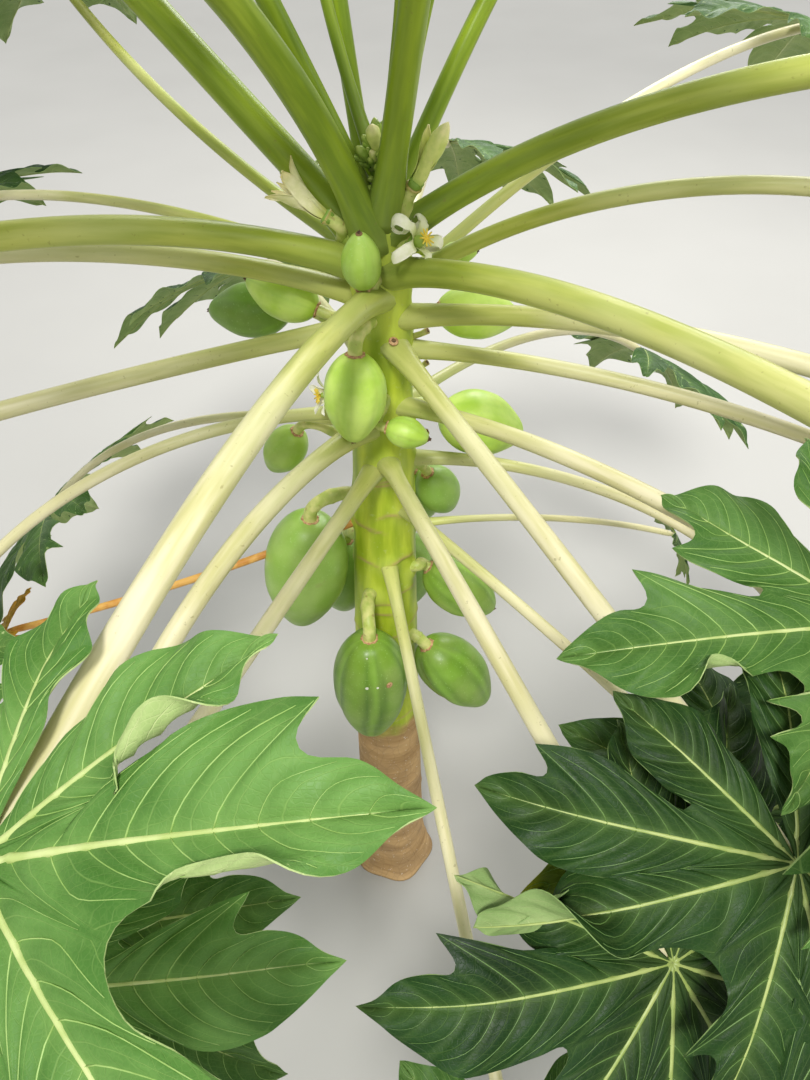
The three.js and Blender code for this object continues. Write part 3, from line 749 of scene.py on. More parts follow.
def plain_paint(name, first, second, scale, roughness, relief=0.0004):
    """Two colours in soft patches, with a fine grain."""
    p = Paint(name, Roughness=roughness)
    colour = p.mix(p.patches(scale, 3, 0.36, 0.64), first, second)
    return p.done(colour, p.bump(p.noise(scale * 5, 3), relief, 0.5))


def petal_paint(name, foot, middle, tip):
    """A petal's colours from its foot to its tip, with veins in the colour of the foot."""
    p = Paint(name, Roughness=0.5)
    along = p.attribute("along")
    colour = p.layers(p.mix(p.span(along, 0.0, 0.4), foot, middle), [
        (p.span(along, 0.72, 1.0), tip),
        (p.patches(160, 3, 0.4, 0.65) * 0.25, foot),
    ])
    return p.done(colour, p.bump(p.noise(420, 3), 0.0003, 0.4))


# for the leaves whose green stands for sun or shade, the light pair is painted sunlight and the dark pair
# painted shade
BLADE_TOP = blade_paint(
    "leaf_top", ((8, 33, 8), (23, 57, 17)), ((66, 108, 40), (104, 144, 70)), (150, 182, 98), 0.26, 0.46,
)
BLADE_UNDER = blade_paint(
    "leaf_under", ((116, 144, 82), (142, 166, 104)), ((150, 172, 104), (178, 194, 130)),
    (206, 214, 152), 0.5, 0.6,
)
WITHERED = blade_paint(
    "leaf_withered", ((168, 116, 30), (206, 160, 48)), ((206, 150, 40), (228, 190, 74)),
    (232, 206, 120), 0.3, 0.7,
)
STALK = stalk_paint()
RIB = vein_paint("leaf_rib", ((176, 192, 112), (200, 210, 140)), ((150, 168, 88), (176, 188, 112)))
SIDE_VEIN = vein_paint("leaf_vein", ((144, 178, 90), (164, 194, 110)), ((84, 116, 52), (106, 138, 70)))
OLD_STALK = vein_paint("old_stalk", ((190, 128, 52), (214, 164, 84)))
BARK = bark_paint()
FRUIT = fruit_paint()
PEDUNCLE = stem_paint()
DRY = plain_paint("dry_remains", (74, 54, 36), (128, 98, 62), 180, 0.85, 0.0008)
LATEX = plain_paint("latex_drop", (226, 224, 206), (240, 238, 226), 200, 0.35)
SCAB = plain_paint("fruit_scab", (168, 122, 84), (208, 168, 124), 300, 0.8)
PETAL = petal_paint("petal_white", (206, 214, 130), (244, 240, 214), (250, 246, 228))
OLD_PETAL = petal_paint("petal_cream", (206, 208, 112), (252, 244, 196), (250, 232, 168))
BUD_SKIN = petal_paint("bud_skin", (160, 188, 70), (222, 226, 132), (238, 226, 164))
GREEN_BUD = petal_paint("bud_green", (126, 158, 56), (160, 186, 78), (186, 198, 100))
STIGMA = plain_paint("stigma", (232, 196, 40), (244, 220, 90), 260, 0.6)


# Leaves
def stalk_line(leaf, steps):
    """The stalk's centreline. Its slope and its compass change evenly along it."""
    radius = trunk_radius(leaf.height)
    lift = radius * (1 - FOOT_INSET) * math.tan(math.radians(min(leaf.rise, STEEPEST_LIFT))) * FOOT_LIFT
    point = beside(leaf.facing - leaf.sweep / 2, radius * FOOT_INSET, leaf.height) - [0, 0, lift]
    line = [point]
    for i in range(steps):
        share = (i + 0.5) / steps
        way = heading(leaf.facing + leaf.sweep * (share - 0.5), lerp(leaf.rise, leaf.dip, share))
        point = point + way * leaf.length / steps
        line.append(point)
    return np.array(line)


def blade_frame(leaf):
    """Centre and axes of a blade: outward, sideways and up."""
    line = stalk_line(leaf, FRAME_STEPS)
    way = line[-1] - line[-2]
    compass = math.degrees(math.atan2(way[1], way[0])) + leaf.turn
    out = heading(compass, leaf.pitch)
    flat = heading(compass + 90, 0)
    roll = math.radians(leaf.roll)
    side = flat * math.cos(roll) + np.cross(out, flat) * math.sin(roll)
    up = np.cross(out, side)
    return line[-1] + up * leaf.tip * HUB_LIFT, out, side, up


def blade_lobes(leaf, index):
    """(turn, reach) of each lobe, a little off the pattern."""
    small = leaf.reach <= SMALL_BLADE
    turns = SMALL_TURNS if small else LOBE_TURNS
    reaches = SMALL_REACH if small else LOBE_REACH
    made = []
    for k, (turn, reach) in enumerate(zip(turns, reaches)):
        extra, share = ODD_LOBES.get(index + 1, {}).get(k, (0, 1))
        made.append((
            math.radians(turn + extra + TURN_SPREAD * (seeded(index, k, 1) - 0.5)),
            share * reach * (1 + REACH_SPREAD * (seeded(index, k, 2) - 0.5)),
        ))
    return made


def lobe_side(index, k, sign):
    """The kind of margin on one side of a lobe, and its width."""
    chosen = CHOSEN_LOBES.get((index + 1, k))
    if chosen:
        return chosen.kinds[sign > 0], chosen.widths[sign > 0]
    draw = seeded(index, k, 29 + sign)
    kind = 0 if not 0 < k < 8 or draw > 0.74 else 3 if draw < 0.3 else 1
    return kind, 0.9 + 0.24 * seeded(index, k, 5 + sign)


def margin(index, k, sign, reach, half_turn, sinus, open_side, steps):
    """The edge of half a lobe, from the hub by way of the sinus to the tip, along and across the rib."""
    kind, width = lobe_side(index, k, sign)
    points, corners = KINDS[kind]
    shift = 0.03 * (seeded(index, k, 9 + sign) - 0.5)
    shaped = [((a + shift) * reach, b * width * reach) for a, b in points]
    bottom = (sinus * math.cos(half_turn), sinus * math.sin(half_turn))
    web = np.linspace((0, 0), bottom, SINUS_VEIN * steps + 1)
    if open_side:
        first_way = unit(np.array(bottom))
    else:
        line = np.array([math.cos(half_turn), math.sin(half_turn)])
        start = np.array(shaped[0])
        first_way = unit(start - (2 * start.dot(line) * line - start))
    edge = smooth_line([bottom, *shaped, (reach, 0)], corners, first_way, steps)
    return np.concatenate([web, edge[1:]])


def rolled(fold, along, across, height, edge):
    """Half a lobe's cross-section, rolled up and over from part of its width on."""
    turn, start, first, last = fold
    turn = math.radians(turn) * ease(first, first + FOLD_BLEND, along)
    turn = np.maximum(turn * (1 - ease(last - FOLD_BLEND, last, along)), 1e-6)
    begin = start * edge
    over = np.maximum(across - begin, 0)
    arc = np.minimum(over, turn * FOLD_RADIUS)
    rest = over - arc
    angle = arc / FOLD_RADIUS
    across = np.minimum(across, begin) + FOLD_RADIUS * np.sin(angle) + rest * np.cos(angle)
    return across, height + FOLD_RADIUS * (1 - np.cos(angle)) + rest * np.sin(angle)


def half_lobe(leaf, index, k, sign, lobe, edge, axes, steps, rows, twist):
    """Half a lobe as a grid: columns from the hub to the tip, rows from the rib to the margin.

    With the points come four values for each: pale, column, row and yellow.
    """
    centre, out, side, up = axes
    turn, reach = lobe
    column = np.arange(len(edge)) / steps
    rib = np.interp(column, np.arange(len(VEINS_AT)), VEINS_AT) * reach
    row = np.linspace(0, 1, rows + 1)[None]
    along = rib[:, None] + (edge[:, :1] - rib[:, None]) * row ** 1.3
    across = edge[:, 1:] * row
    free = ease(0.48 * reach, 0.9 * reach, along)
    loose = ease(SINUS_VEIN, SINUS_VEIN + 1.5, column)[:, None] * (1 - ease(9, 10, column))[:, None]
    gap = column - np.floor(column)
    from_hub = np.hypot(along, across)
    quilt = np.abs(np.sin(np.pi * gap))[:, None] ** 0.8 * np.sin(np.pi * row) ** 0.7
    wave = np.sin(column * 1.9 + ANY_TURN * seeded(index, k, 13 + sign))[:, None] * row ** 2 * loose
    height = PLEAT * from_hub * (1 - np.exp(-across / PLEAT_WIDTH)) + QUILT * quilt + WAVE * wave
    height = height - LOBE_DROOP * reach * free ** 2 * (seeded(index, k, 17) - 0.35)
    if (index + 1, k, sign) in FOLDS:
        across, height = rolled(FOLDS[index + 1, k, sign], along / reach, across, height, edge[:, 1:])
    roll = twist * free
    b = sign * across * np.cos(roll) - height * np.sin(roll)
    height = height * np.cos(roll) + sign * across * np.sin(roll)
    b = b + RIB_BEND * (seeded(index, k, 19) - 0.5) * reach * np.clip(along / reach - 0.5, 0, 1) ** 2
    x = along * math.cos(turn) - b * math.sin(turn)
    y = along * math.sin(turn) + b * math.cos(turn)
    square = x * x + y * y
    short = 1 / np.sqrt(1 + BLADE_SHORTENING * leaf.droop ** 2 * square)
    drop = leaf.droop * BLADE_CURVE * square
    points = (
        centre
        + (x * short)[..., None] * out * leaf.reach
        + (y * short)[..., None] * side * leaf.reach
        + (height - drop)[..., None] * up * leaf.reach
    )
    from_rib = across * leaf.reach
    from_vein = np.minimum(gap, 1 - gap)[:, None] * 0.09 * reach * leaf.reach
    pale = 0.6 * np.exp(-from_rib / PALE_BY_RIB)
    pale = pale + 0.35 * np.exp(-from_vein / PALE_BY_VEIN) * (1 - 0.6 * row)
    yellow = ease(0.3, 0.6, along / reach) * (k in YELLOW_LOBES.get(index + 1, ()))
    values = np.stack(np.broadcast_arrays(np.clip(pale, 0, 1), column[:, None], row, yellow), -1)
    return points, values


def grid_normals(points, sign):
    du = np.gradient(points, axis=0)
    dv = np.gradient(points, axis=1)
    normals = unit(np.cross(du, dv)) * sign
    normals[0] = normals[1]
    normals[-1] = normals[-2]
    return normals


def on_grid(grid, column, row):
    """Values between a grid's points."""
    first, other = np.floor(column).astype(int), np.floor(row).astype(int)
    first = np.minimum(first, len(grid) - 2)
    other = np.minimum(other, grid.shape[1] - 2)
    s, r = (column - first)[..., None], (row - other)[..., None]
    low = grid[first, other] * (1 - r) + grid[first, other + 1] * r
    high = grid[first + 1, other] * (1 - r) + grid[first + 1, other + 1] * r
    return low * (1 - s) + high * s


def weld(points, faces, values):
    """Points that lie in one place become one, and faces that this narrows lose a corner."""
    keys = np.round(points * 1e3).astype(np.int64)
    _, first, inverse = np.unique(keys, axis=0, return_index=True, return_inverse=True)
    faces = inverse.reshape(-1)[faces]
    whole = (np.diff(np.sort(faces, axis=1), axis=1) > 0).all(axis=1)
    narrowed = [list(dict.fromkeys(face)) for face in faces[~whole].tolist()]
    triangles = np.array([face for face in narrowed if len(face) == 3], int).reshape(-1, 3)
    return points[first], faces[whole], triangles, values[first]


def point_normals(points, quads, triangles):
    normals = np.zeros_like(points)
    for faces, (a, b, c, d) in ((quads, (0, 2, 1, 3)), (triangles, (0, 1, 0, 2))):
        corners = points[faces]
        cross = np.cross(corners[:, b] - corners[:, a], corners[:, d] - corners[:, c])
        for corner in range(faces.shape[1]):
            np.add.at(normals, faces[:, corner], cross)
    return unit(normals)


def rim_edges(quads, triangles):
    """Directed edges that only one face has."""
    edges = [quads[:, [i, (i + 1) % 4]] for i in range(4)]
    edges += [triangles[:, [i, (i + 1) % 3]] for i in range(3)]
    edges = np.concatenate(edges)
    size = edges.max() + 1
    forward = edges[:, 0] * size + edges[:, 1]
    backward = edges[:, 1] * size + edges[:, 0]
    return edges[~np.isin(forward, backward)]


def vein_tubes(lines, normals, radii, sides, lift=0.0):
    """Many thin tapering bars at once, with an edge upwards. lines and normals hold one vein a row."""
    count, steps = lines.shape[:2]
    along = unit(np.gradient(lines, axis=1))
    ring = circle(unit(np.cross(along, normals)), normals, full_circle(sides) + np.pi / 2)
    points = (lines + normals * lift)[:, :, None] + ring * radii[:, :, None, None]
    first = np.arange(count)[:, None, None] * steps * sides
    faces = [(grid_faces(steps, sides, True)[None] + first).reshape(-1, 4)]
    starts = np.arange(sides)[::-1][None] + first[:, 0]
    faces += [starts, starts[:, ::-1] + (steps - 1) * sides]
    return points.reshape(-1, 3), faces


def side_veins(points, normals, straight_to, steps, rows, vein_steps):
    """The side veins of half a lobe: lines, normals and radii.

    They bend forwards near the margin, apart from those that run straight into the point of a side lobe.
    """
    numbers = np.arange(1, len(VEINS_AT) - 1)
    at = numbers * steps
    share = np.linspace(0, 1, vein_steps)
    straight = np.isin(numbers - SINUS_VEIN, straight_to)[:, None]
    forwards = 0.12 * share + 0.62 * ease(0.35, 1, share)
    column = at[:, None] + steps * np.where(straight, 0.0, forwards)
    row = rows * np.where(straight, 0.97, 0.93) * (1 - (1 - share) ** 1.5)
    length = np.linalg.norm(points[at, -1] - points[at, 0], axis=1)
    start = np.clip(length / VEIN_FULL_LENGTH, 0.45, 1.0) * VEIN_RADIUS
    radii = start[:, None] * (1 - 0.7 * share)[None]
    return on_grid(points, column, row), unit(on_grid(normals, column, row)), radii


def blade(leaf, index, detail):
    """A leaf blade: parts for its two faces and rim, and parts for its ribs and veins."""
    steps, rows, vein_steps, rib_sides = detail
    axes = blade_frame(leaf)
    lobes = blade_lobes(leaf, index)
    grids, faces, values, veins, ribs = [], [], [], [], []
    first = 0
    for k, (turn, reach) in enumerate(lobes):
        chosen = CHOSEN_LOBES.get((index + 1, k))
        twist = math.radians(chosen.twist if chosen else TWIST_SPREAD * (seeded(index, k, 23) - 0.5))
        for sign in (-1, 1):
            other = k + sign
            open_side = not 0 <= other < len(lobes)
            if open_side:
                half_turn, sinus = math.radians(OPEN_HALF_TURN), OPEN_SINUS_REACH * reach
            else:
                half_turn = abs(lobes[other][0] - turn) / 2
                sinus = SINUS_REACH * (reach + lobes[other][1]) / 2
            edge = margin(index, k, sign, reach, half_turn, sinus, open_side, steps)
            points, own_values = half_lobe(
                leaf, index, k, sign, (turn, reach), edge, axes, steps, rows, twist,
            )
            normals = grid_normals(points, sign)
            columns = len(edge)
            quads = grid_faces(columns, rows + 1, False)
            if sign > 0:
                quads = quads[:, ::-1]
            grids.append(points.reshape(-1, 3))
            faces.append(quads + first)
            values.append(own_values.reshape(-1, own_values.shape[-1]))
            first += columns * (rows + 1)
            straight_to = KINDS[lobe_side(index, k, sign)[0]][1]
            veins.append(side_veins(points, normals, straight_to, steps, rows, vein_steps))
        share = np.interp(np.arange(columns) / steps, np.arange(len(VEINS_AT)), VEINS_AT)
        radii = (1 - share) ** 0.9 * leaf.tip * RIB_SHARE * (0.6 + 0.4 * reach) + LEAST_RIB
        ribs.append((points[:, 0], normals[:, 0], radii))
    joined = (np.concatenate(part) for part in (grids, faces, values))
    points, quads, triangles, values = weld(*joined)
    normals = point_normals(points, quads, triangles)
    looks = dict(zip(("pale", "column", "row", "yellow"), values.T))
    twice = {key: np.concatenate([value, value]) for key, value in looks.items()}
    # a leaf's green: its own tone, and for the listed leaves painted light and shade as well
    age = LEAF_TONE_AND_PAINTED_LIGHT.get(index + 1, 0.5 * seeded(index, 31) + 0.1)
    looks["age"] = twice["age"] = age
    rim = rim_edges(quads, triangles)
    count = len(points)
    top, under = points + normals * BLADE_THICK / 2, points - normals * BLADE_THICK / 2
    rim_faces = np.stack([rim[:, 1], rim[:, 0], rim[:, 0] + count, rim[:, 1] + count], -1)
    sheet = [
        (top, [quads, triangles], 0, looks),
        (under, [quads[:, ::-1], triangles[:, ::-1]], 1, looks),
        (np.concatenate([top, under]), [rim_faces], 1, twice),
    ]
    vein_points, vein_faces = vein_tubes(
        *(np.concatenate(part) for part in zip(*veins)), VEIN_SIDES, BLADE_THICK / 2 + VEIN_LIFT,
    )
    rib_points, rib_faces = vein_tubes(*(np.array(part) for part in zip(*ribs)), rib_sides)
    return sheet, [(vein_points, vein_faces, 1, {"age": age}), (rib_points, rib_faces, 0, {"age": age})]


def stalk(leaf, index):
    """A leaf stalk, swollen where it clasps the trunk. Its foot is wider than it is high."""
    line = stalk_line(leaf, STALK_STEPS)
    share = np.linspace(0, 1, STALK_STEPS + 1)
    swell = 1 + FOOT_SWELL * np.exp(-share * leaf.length / FOOT_LENGTH)
    radii = (leaf.foot + (leaf.tip - leaf.foot) * share ** 0.8) * swell
    radii = radii * (1 - 0.35 * ease(0.97, 1.0, share))
    radii = radii * (1 + 0.012 * np.sin(share * 23 + index))
    tint = 0.05 + 0.5 * ease(1228, 1110, leaf.height) + lerp(0.2, 0.75, ease(40, -10, leaf.dip)) * share
    out = share * leaf.length
    values = {"tint": tint, "wax": 0.8 * np.exp(-out / 45)}
    points, faces, slot, spread = tube(line, radii, STALK_SIDES, 0, values)
    ring = points.reshape(STALK_STEPS + 1, STALK_SIDES, 3) - line[:, None]
    compass = math.radians(leaf.facing - leaf.sweep / 2)
    wide = np.array([-math.sin(compass), math.cos(compass), 0])
    more = (FOOT_WIDENS * hump(out, FOOT_WIDE_FOR))[:, None, None]
    points = (line[:, None] + ring + more * (ring @ wide)[..., None] * wide).reshape(-1, 3)
    turn = np.tile(full_circle(STALK_SIDES), STALK_STEPS + 1)
    spread["cross_x"] = np.cos(turn) * leaf.tip * MM + STREAK_SHIFT * index
    spread["cross_y"] = np.sin(turn) * leaf.tip * MM
    spread["length"] = np.repeat(out, STALK_SIDES) * MM * STREAK_STRETCH
    return [(points, faces, slot, spread)]


def dress_leaf(name, leaf, index, replaced=()):
    faces, lines, bar = [BLADE_TOP, BLADE_UNDER], [RIB, SIDE_VEIN], [STALK]
    if index + 1 == WITHERED_LEAF:
        faces, lines, bar = [WITHERED] * 2, [OLD_STALK] * 2, [OLD_STALK]
    sheet, veins = blade(leaf, index, NEAR_DETAIL if index + 1 in NEAR_LEAVES else FAR_DETAIL)
    make_piece(f"{name}_blade", sheet, faces, replaced)
    make_piece(f"{name}_veins", veins, lines)
    make_piece(f"{name}_stalk", stalk(leaf, index), bar)


# Trunk
def trunk_surface():
    """Rings of points with leaf scars and pads under stalks and stems, and values for each point."""
    heights = np.append(np.arange(0, TRUNK_TOP, TRUNK_RING_GAP), TRUNK_TOP)
    facing = np.linspace(0, 360, TRUNK_POINTS_ROUND, endpoint=False)
    h, a = np.meshgrid(heights, facing, indexing="ij")
    turn = np.radians(a)
    radius = np.interp(h, TRUNK_HEIGHTS, TRUNK_RADII)
    flare = FLARE_DEPTH * np.clip(1 - h / FLARE_HEIGHT, 0, 1)
    scars = list(SCARS)
    for i, height in enumerate(np.arange(SCAR_BOTTOM, SCAR_TOP, SCAR_STEP)):
        scars.append((height + 8 * seeded(i, 71), SCAR_TURN * i + 16 * seeded(i, 72)))
    relief = 0.35 * np.sin(turn * 9 + 1.3 * np.sin(h / 90)) + 0.3 * np.sin(turn * 4 + h / 210)
    scar_mark = np.zeros_like(h)
    wax = 0.55 * ease(1010, 1180, h)
    for i, (height, where) in enumerate(scars):
        side = ((a - where + 180) % 360 - 180) / (24 + 9 * seeded(i, 73))
        line = height - SCAR_SAG * side ** 2
        window = np.exp(-side ** 4)
        relief += SCAR_RIDGE * window * hump(h - line, 2.6) + SCAR_PAD * window * hump(h - line - 7, 6)
        scar_mark = np.maximum(scar_mark, window * hump(h - line, 2.1))
    feet = [(leaf.height, leaf.facing - leaf.sweep / 2, leaf.foot) for leaf in LEAVES]
    feet += [(item.foot_height, item.foot_facing, item.stem) for item in FRUITS + FLOWERS]
    for height, where, foot in feet:
        off = (a - where + 180) % 360 - 180
        away = np.hypot(np.radians(off) * radius, (h - height) * 0.85) / (foot * FOOT_PAD_REACH)
        relief += FOOT_PAD * np.exp(-away ** 3) * ease(0, 60, TRUNK_TOP - h)
        wax = np.maximum(wax, 0.75 * hump(away, 1.25))
    radius = radius * (1 + flare * np.cos(FLARE_LOBES * turn)) + relief * ease(0, 14, h)
    rings = [np.stack([trunk_axis(h) + radius * np.cos(turn), radius * np.sin(turn), h], -1)]
    middle = np.array([trunk_axis(TRUNK_TOP), 0, TRUNK_TOP])
    last = rings[0][-1]
    for step in range(1, DOME_RINGS + 1):
        share = step / DOME_RINGS
        ring = middle + (last - middle) * (1 - 0.9 * share ** 1.5) + [0, 0, DOME_HEIGHT * math.sqrt(share)]
        rings.append(ring[None])
    stripe = 0.5 + 0.3 * np.sin(turn * 5 + 1.1 * np.sin(h / 150))
    stripe = stripe + 0.2 * np.sin(turn * 11 + 2 * np.sin(h / 70))
    values = {}
    for key, value in (("scar", scar_mark), ("wax", wax), ("stripe", stripe)):
        values[key] = np.pad(value, ((0, DOME_RINGS), (0, 0)), mode="edge").reshape(-1)
    return np.concatenate(rings), values


def trunk():
    points, values = trunk_surface()
    parts = [(points.reshape(-1, 3), ring_faces(len(points), TRUNK_POINTS_ROUND), 0, values)]
    height, where, out = FRUIT_SCAR
    place, way = beside(where, trunk_radius(height) + out, height), heading(where, FRUIT_SCAR_SLOPE)
    parts.append(button(place, way, 5.0, 1.4, 1))
    parts.append(button(place + way * 0.9, way, 2.6, 0.9, 2))
    for height, where, length, radius, slope in STUBS:
        foot, way = beside(where, trunk_radius(height) * 0.8, height), heading(where, slope)
        end = foot + way * (8 + length) + [0, 0, 1.5]
        line = [foot, foot + way * 9, foot + way * (8 + length * 0.6), end]
        radii = [radius * share for share in (1.3, 1, 0.9, 1.15)]
        parts.append(tube(line, radii, 14, 3, {"out": [0, 0.4, 0.8, 1]}))
        parts.append(button(end, way, radius * 0.8, 0.7, 2))
    make_piece("trunk_bark", parts, [BARK, SCAB, DRY, PEDUNCLE], ["trunk"])


# Fruits and flowers
def stem_part(item, end, way, arch, index):
    """A bent stem from the trunk to the foot of a fruit or flower, with a joint and a rim."""
    radius = trunk_radius(item.foot_height)
    line = through([
        beside(item.foot_facing, radius * FOOT_INSET, item.foot_height),
        beside(item.foot_facing, radius + STEM_STANDS_OUT, item.foot_height + arch),
        end - way * item.stem * 1.4,
        end + way * item.stem * 0.9,
    ], 12)
    share = np.linspace(0, 1, len(line))
    radii = item.stem * (1 + 0.3 * np.exp(-share / 0.06) + 0.16 * hump(share - 0.45, 0.03))
    radii = radii * (1 + 0.28 * ease(0.86, 1.0, share))
    return tube(line, radii, 16, index, {"out": share})


def flower_remains(number, end, way, radius):
    """The scar and dry tips that a flower leaves at the end of its fruit."""
    size = 1.4 + 0.035 * radius
    parts = [button(end - way * 0.6, way, size * 1.6, size * 0.8, DRY_SLOT)]
    for k in range(FIVE):
        angle = 2 * math.pi * (k + seeded(number, k, 93) * 0.5) / FIVE
        lean = unit(way + 0.55 * around(way, angle))
        length = size * (1.2 + 0.9 * seeded(number, k, 94))
        radii = [size * 0.55, size * 0.42, 0.15]
        parts.append(turned(end - way * 0.5, lean, [0, length * 0.6, length], radii, 7, DRY_SLOT))
    return parts


def fruit(number, f, looks):
    """A fruit with its grooves and stem, the rim where they meet, and what its flower left."""
    light, bloom, groove = looks
    way = heading(f.way, f.slope)
    start = beside(f.facing, f.out, f.height) - way * f.half
    share = (1 - np.cos(np.linspace(0, np.pi, FRUIT_RINGS))) / 2
    profile = np.sin(np.pi * np.clip(share, 0.0005, 0.9995)) ** lerp(0.46, 0.38, ease(30, 48, f.radius))
    shoulder = 1 + 0.06 * hump(share - 0.24, 0.2)
    nose = 1 - 0.2 * ease(0.55, 1.0, share)
    radii = f.radius * profile * shoulder * nose / 1.02 + 0.4
    side, other = square_to(way)
    front = math.atan2(-other[1], -side[1])
    phase = front - math.pi / 5 + GROOVE_TURNS.get(number, ANY_TURN * seeded(number, 91))

    def ridges(turn, s):
        return np.abs(np.cos(2.5 * (turn - phase) + 0.25 * np.sin(5 * s)))

    def warp(turn, s):
        window = np.sin(np.pi * share)[:, None] ** 0.4
        made = 1 - groove * window * (1 - ridges(turn, s)) ** 1.6
        made = made + 0.012 * np.sin(2 * turn + phase) + 0.01 * np.sin(3 * turn + 4 * s)
        if number == FOLDED_FRUIT:
            off = (turn - (phase + 1.2) + np.pi) % (2 * np.pi) - np.pi
            made = made - 0.2 * window * hump(off, 0.3)
        return made

    turn, along = full_circle(FRUIT_SIDES), share[:, None]
    cross = ridges(turn[None], along)
    stripe = hump(cross, 0.22) * min(0.6 + 9 * groove, 1.3)
    # painted shade: darker green down the sides of each groove, stronger where the grooves are deeper
    band = hump(cross - 0.5, 0.26) * min(12 * groove, 1) * np.sin(np.pi * along) ** 0.5
    sink = 0.1 * f.radius * hump(radii, 0.34 * f.radius) * (share < 0.5)
    values = {"light": light, "bloom": bloom, "stripe": stripe, "band": band, "along": along}
    rim = start + way * (0.1 * f.radius - 1.5)
    parts = [
        turned(start, way, share * 2 * f.half, radii, FRUIT_SIDES, SKIN_SLOT, warp, values, sink),
        stem_part(f, start + way * 0.05 * f.radius, way, FRUIT_STEM_ARCH, STEM_SLOT),
        turned(rim, way, [0, 1.2, 3.0], [f.stem * 1.1, f.stem * 1.34, f.stem * 1.05], 40, SCAB_SLOT,
               lambda turn, s: five_ribbed(0.1)(turn, s) + 0.05 * np.sin(9 * turn)),
        *flower_remains(number, start + way * f.half * 2, way, f.radius),
    ]
    if number == SPOTTED_FRUIT:
        shares = warp(turn[None], along)
        for across, up, radius, slot in SPOTS:
            out = unit(np.array([across, -1.0, 0.25]))
            out = unit(out - way * out.dot(way))
            spot_turn = math.atan2(out.dot(other), out.dot(side)) % (2 * np.pi)
            own = [np.interp(spot_turn, turn, row) for row in shares]
            reach = np.interp(up / (2 * f.half), share, radii * own)
            parts.append(button(start + way * up + out * reach, out, radius, radius * 0.4, slot))
    node = f"fruit_{number:02d}"
    make_piece(f"{node}_body", parts, [FRUIT, PEDUNCLE, DRY, LATEX, SCAB], [node])


def petal(base, way, out, length, width, lean, curl, twist, seed, index):
    """One petal: a strip that leaves the flower's axis by lean and rolls back by curl, in degrees."""
    rows, columns = 22, 7
    share = np.linspace(0, 1, rows)
    angle = np.radians(lean + curl * share ** 1.6)
    step = length / (rows - 1)
    ways = np.cos(angle)[:, None] * way + np.sin(angle)[:, None] * out
    line = base + np.concatenate([[np.zeros(3)], np.cumsum(ways[:-1] * step, axis=0)])
    side = np.cross(way, out)
    inward = np.cross(side, ways)
    roll = np.radians(twist * share ** 1.3 + 14 * np.sin(6 * share + seed))
    across = np.cos(roll)[:, None] * side + np.sin(roll)[:, None] * inward
    half = width * (0.3 + 0.7 * np.sin(np.pi * (0.08 + 0.86 * share) ** 0.8))
    half = half * (1 - ease(0.86, 1.0, share) * 0.75)
    place = np.linspace(-1, 1, columns)
    grid = line[:, None] + across[:, None] * (place[None, :, None] * half[:, None, None])
    cup = 0.35 * half[:, None] * (place ** 2)[None]
    lift = np.cross(across, ways)
    grid = grid + lift[:, None] * cup[..., None] * np.sign(lift @ -out).reshape(-1, 1, 1)
    grid = grid + lift[:, None] * (0.6 * np.sin(9 * share + seed)[:, None] * place ** 2)[..., None]
    return slab(grid, PETAL_THICK, index, {"along": share[:, None]})


def bud(base, way, length, radius, seed, index=0, sides=20):
    """A closed flower: a club whose petals wind round each other, in a small cup."""
    share = np.linspace(0, 1, 22)
    shape = np.interp(share, [0, 0.12, 0.35, 0.6, 0.8, 0.93, 1], [0.5, 0.62, 0.74, 1, 0.92, 0.5, 0.08])

    def wound(turn, s):
        return 1 + 0.1 * (np.abs(np.sin(2.5 * (turn + 2.2 * s) + seed)) - 0.5)

    cup_places = [0, 1.5, length * 0.13, length * 0.15]
    cup_radii = [radius * 0.5, radius * 0.72, radius * 0.84, radius * 0.7]
    return [
        turned(base, way, share * length, shape * radius, sides, index, wound, {"along": share[:, None]}),
        turned(base - way * 1.0, way, cup_places, cup_radii, 15, 1, five_ribbed(0.1), {"along": 0.0}),
    ]


def closed_flower(f, base, way):
    """A long bud with three petals that have come loose."""
    parts = bud(base + way * 3, unit(way + [0.05, 0, 0.1]), f.length - 4, f.width * 0.72, 3)
    for k, (angle, lean) in enumerate(((0.4, 6), (2.4, 5), (4.4, 8))):
        out = around(way, angle)
        foot, long = base + way * 7 + out * 4.5, f.length * (0.5 + 0.1 * k)
        parts.append(petal(foot, way, out, long, f.width * 0.5, lean, 14 * (k - 1), 30, k, 0))
    return parts


def ovary_and_stigma(f, base, way):
    """The ovary, and five forked arms of the stigma on it."""
    share = np.linspace(0, 1, 12)
    radii = f.width * 0.34 * np.sin(0.3 + 2.5 * share) + 0.3
    parts = [turned(base + way * 3, way, share * f.length * 0.5, radii, 16, 1, None, {"along": 0.5})]
    top = base + way * (3 + f.length * 0.48)
    for k in range(FIVE):
        out = around(way, 2 * math.pi * k / FIVE)
        for fork in (-0.35, 0.35):
            bend = unit(out + np.cross(way, out) * fork)
            line = through([top, top + way * 3 + bend * 3, top + way * 4 + bend * 8], 4)
            parts.append(tube(line, np.linspace(1.1, 0.7, len(line)), 7, 4))
    return parts


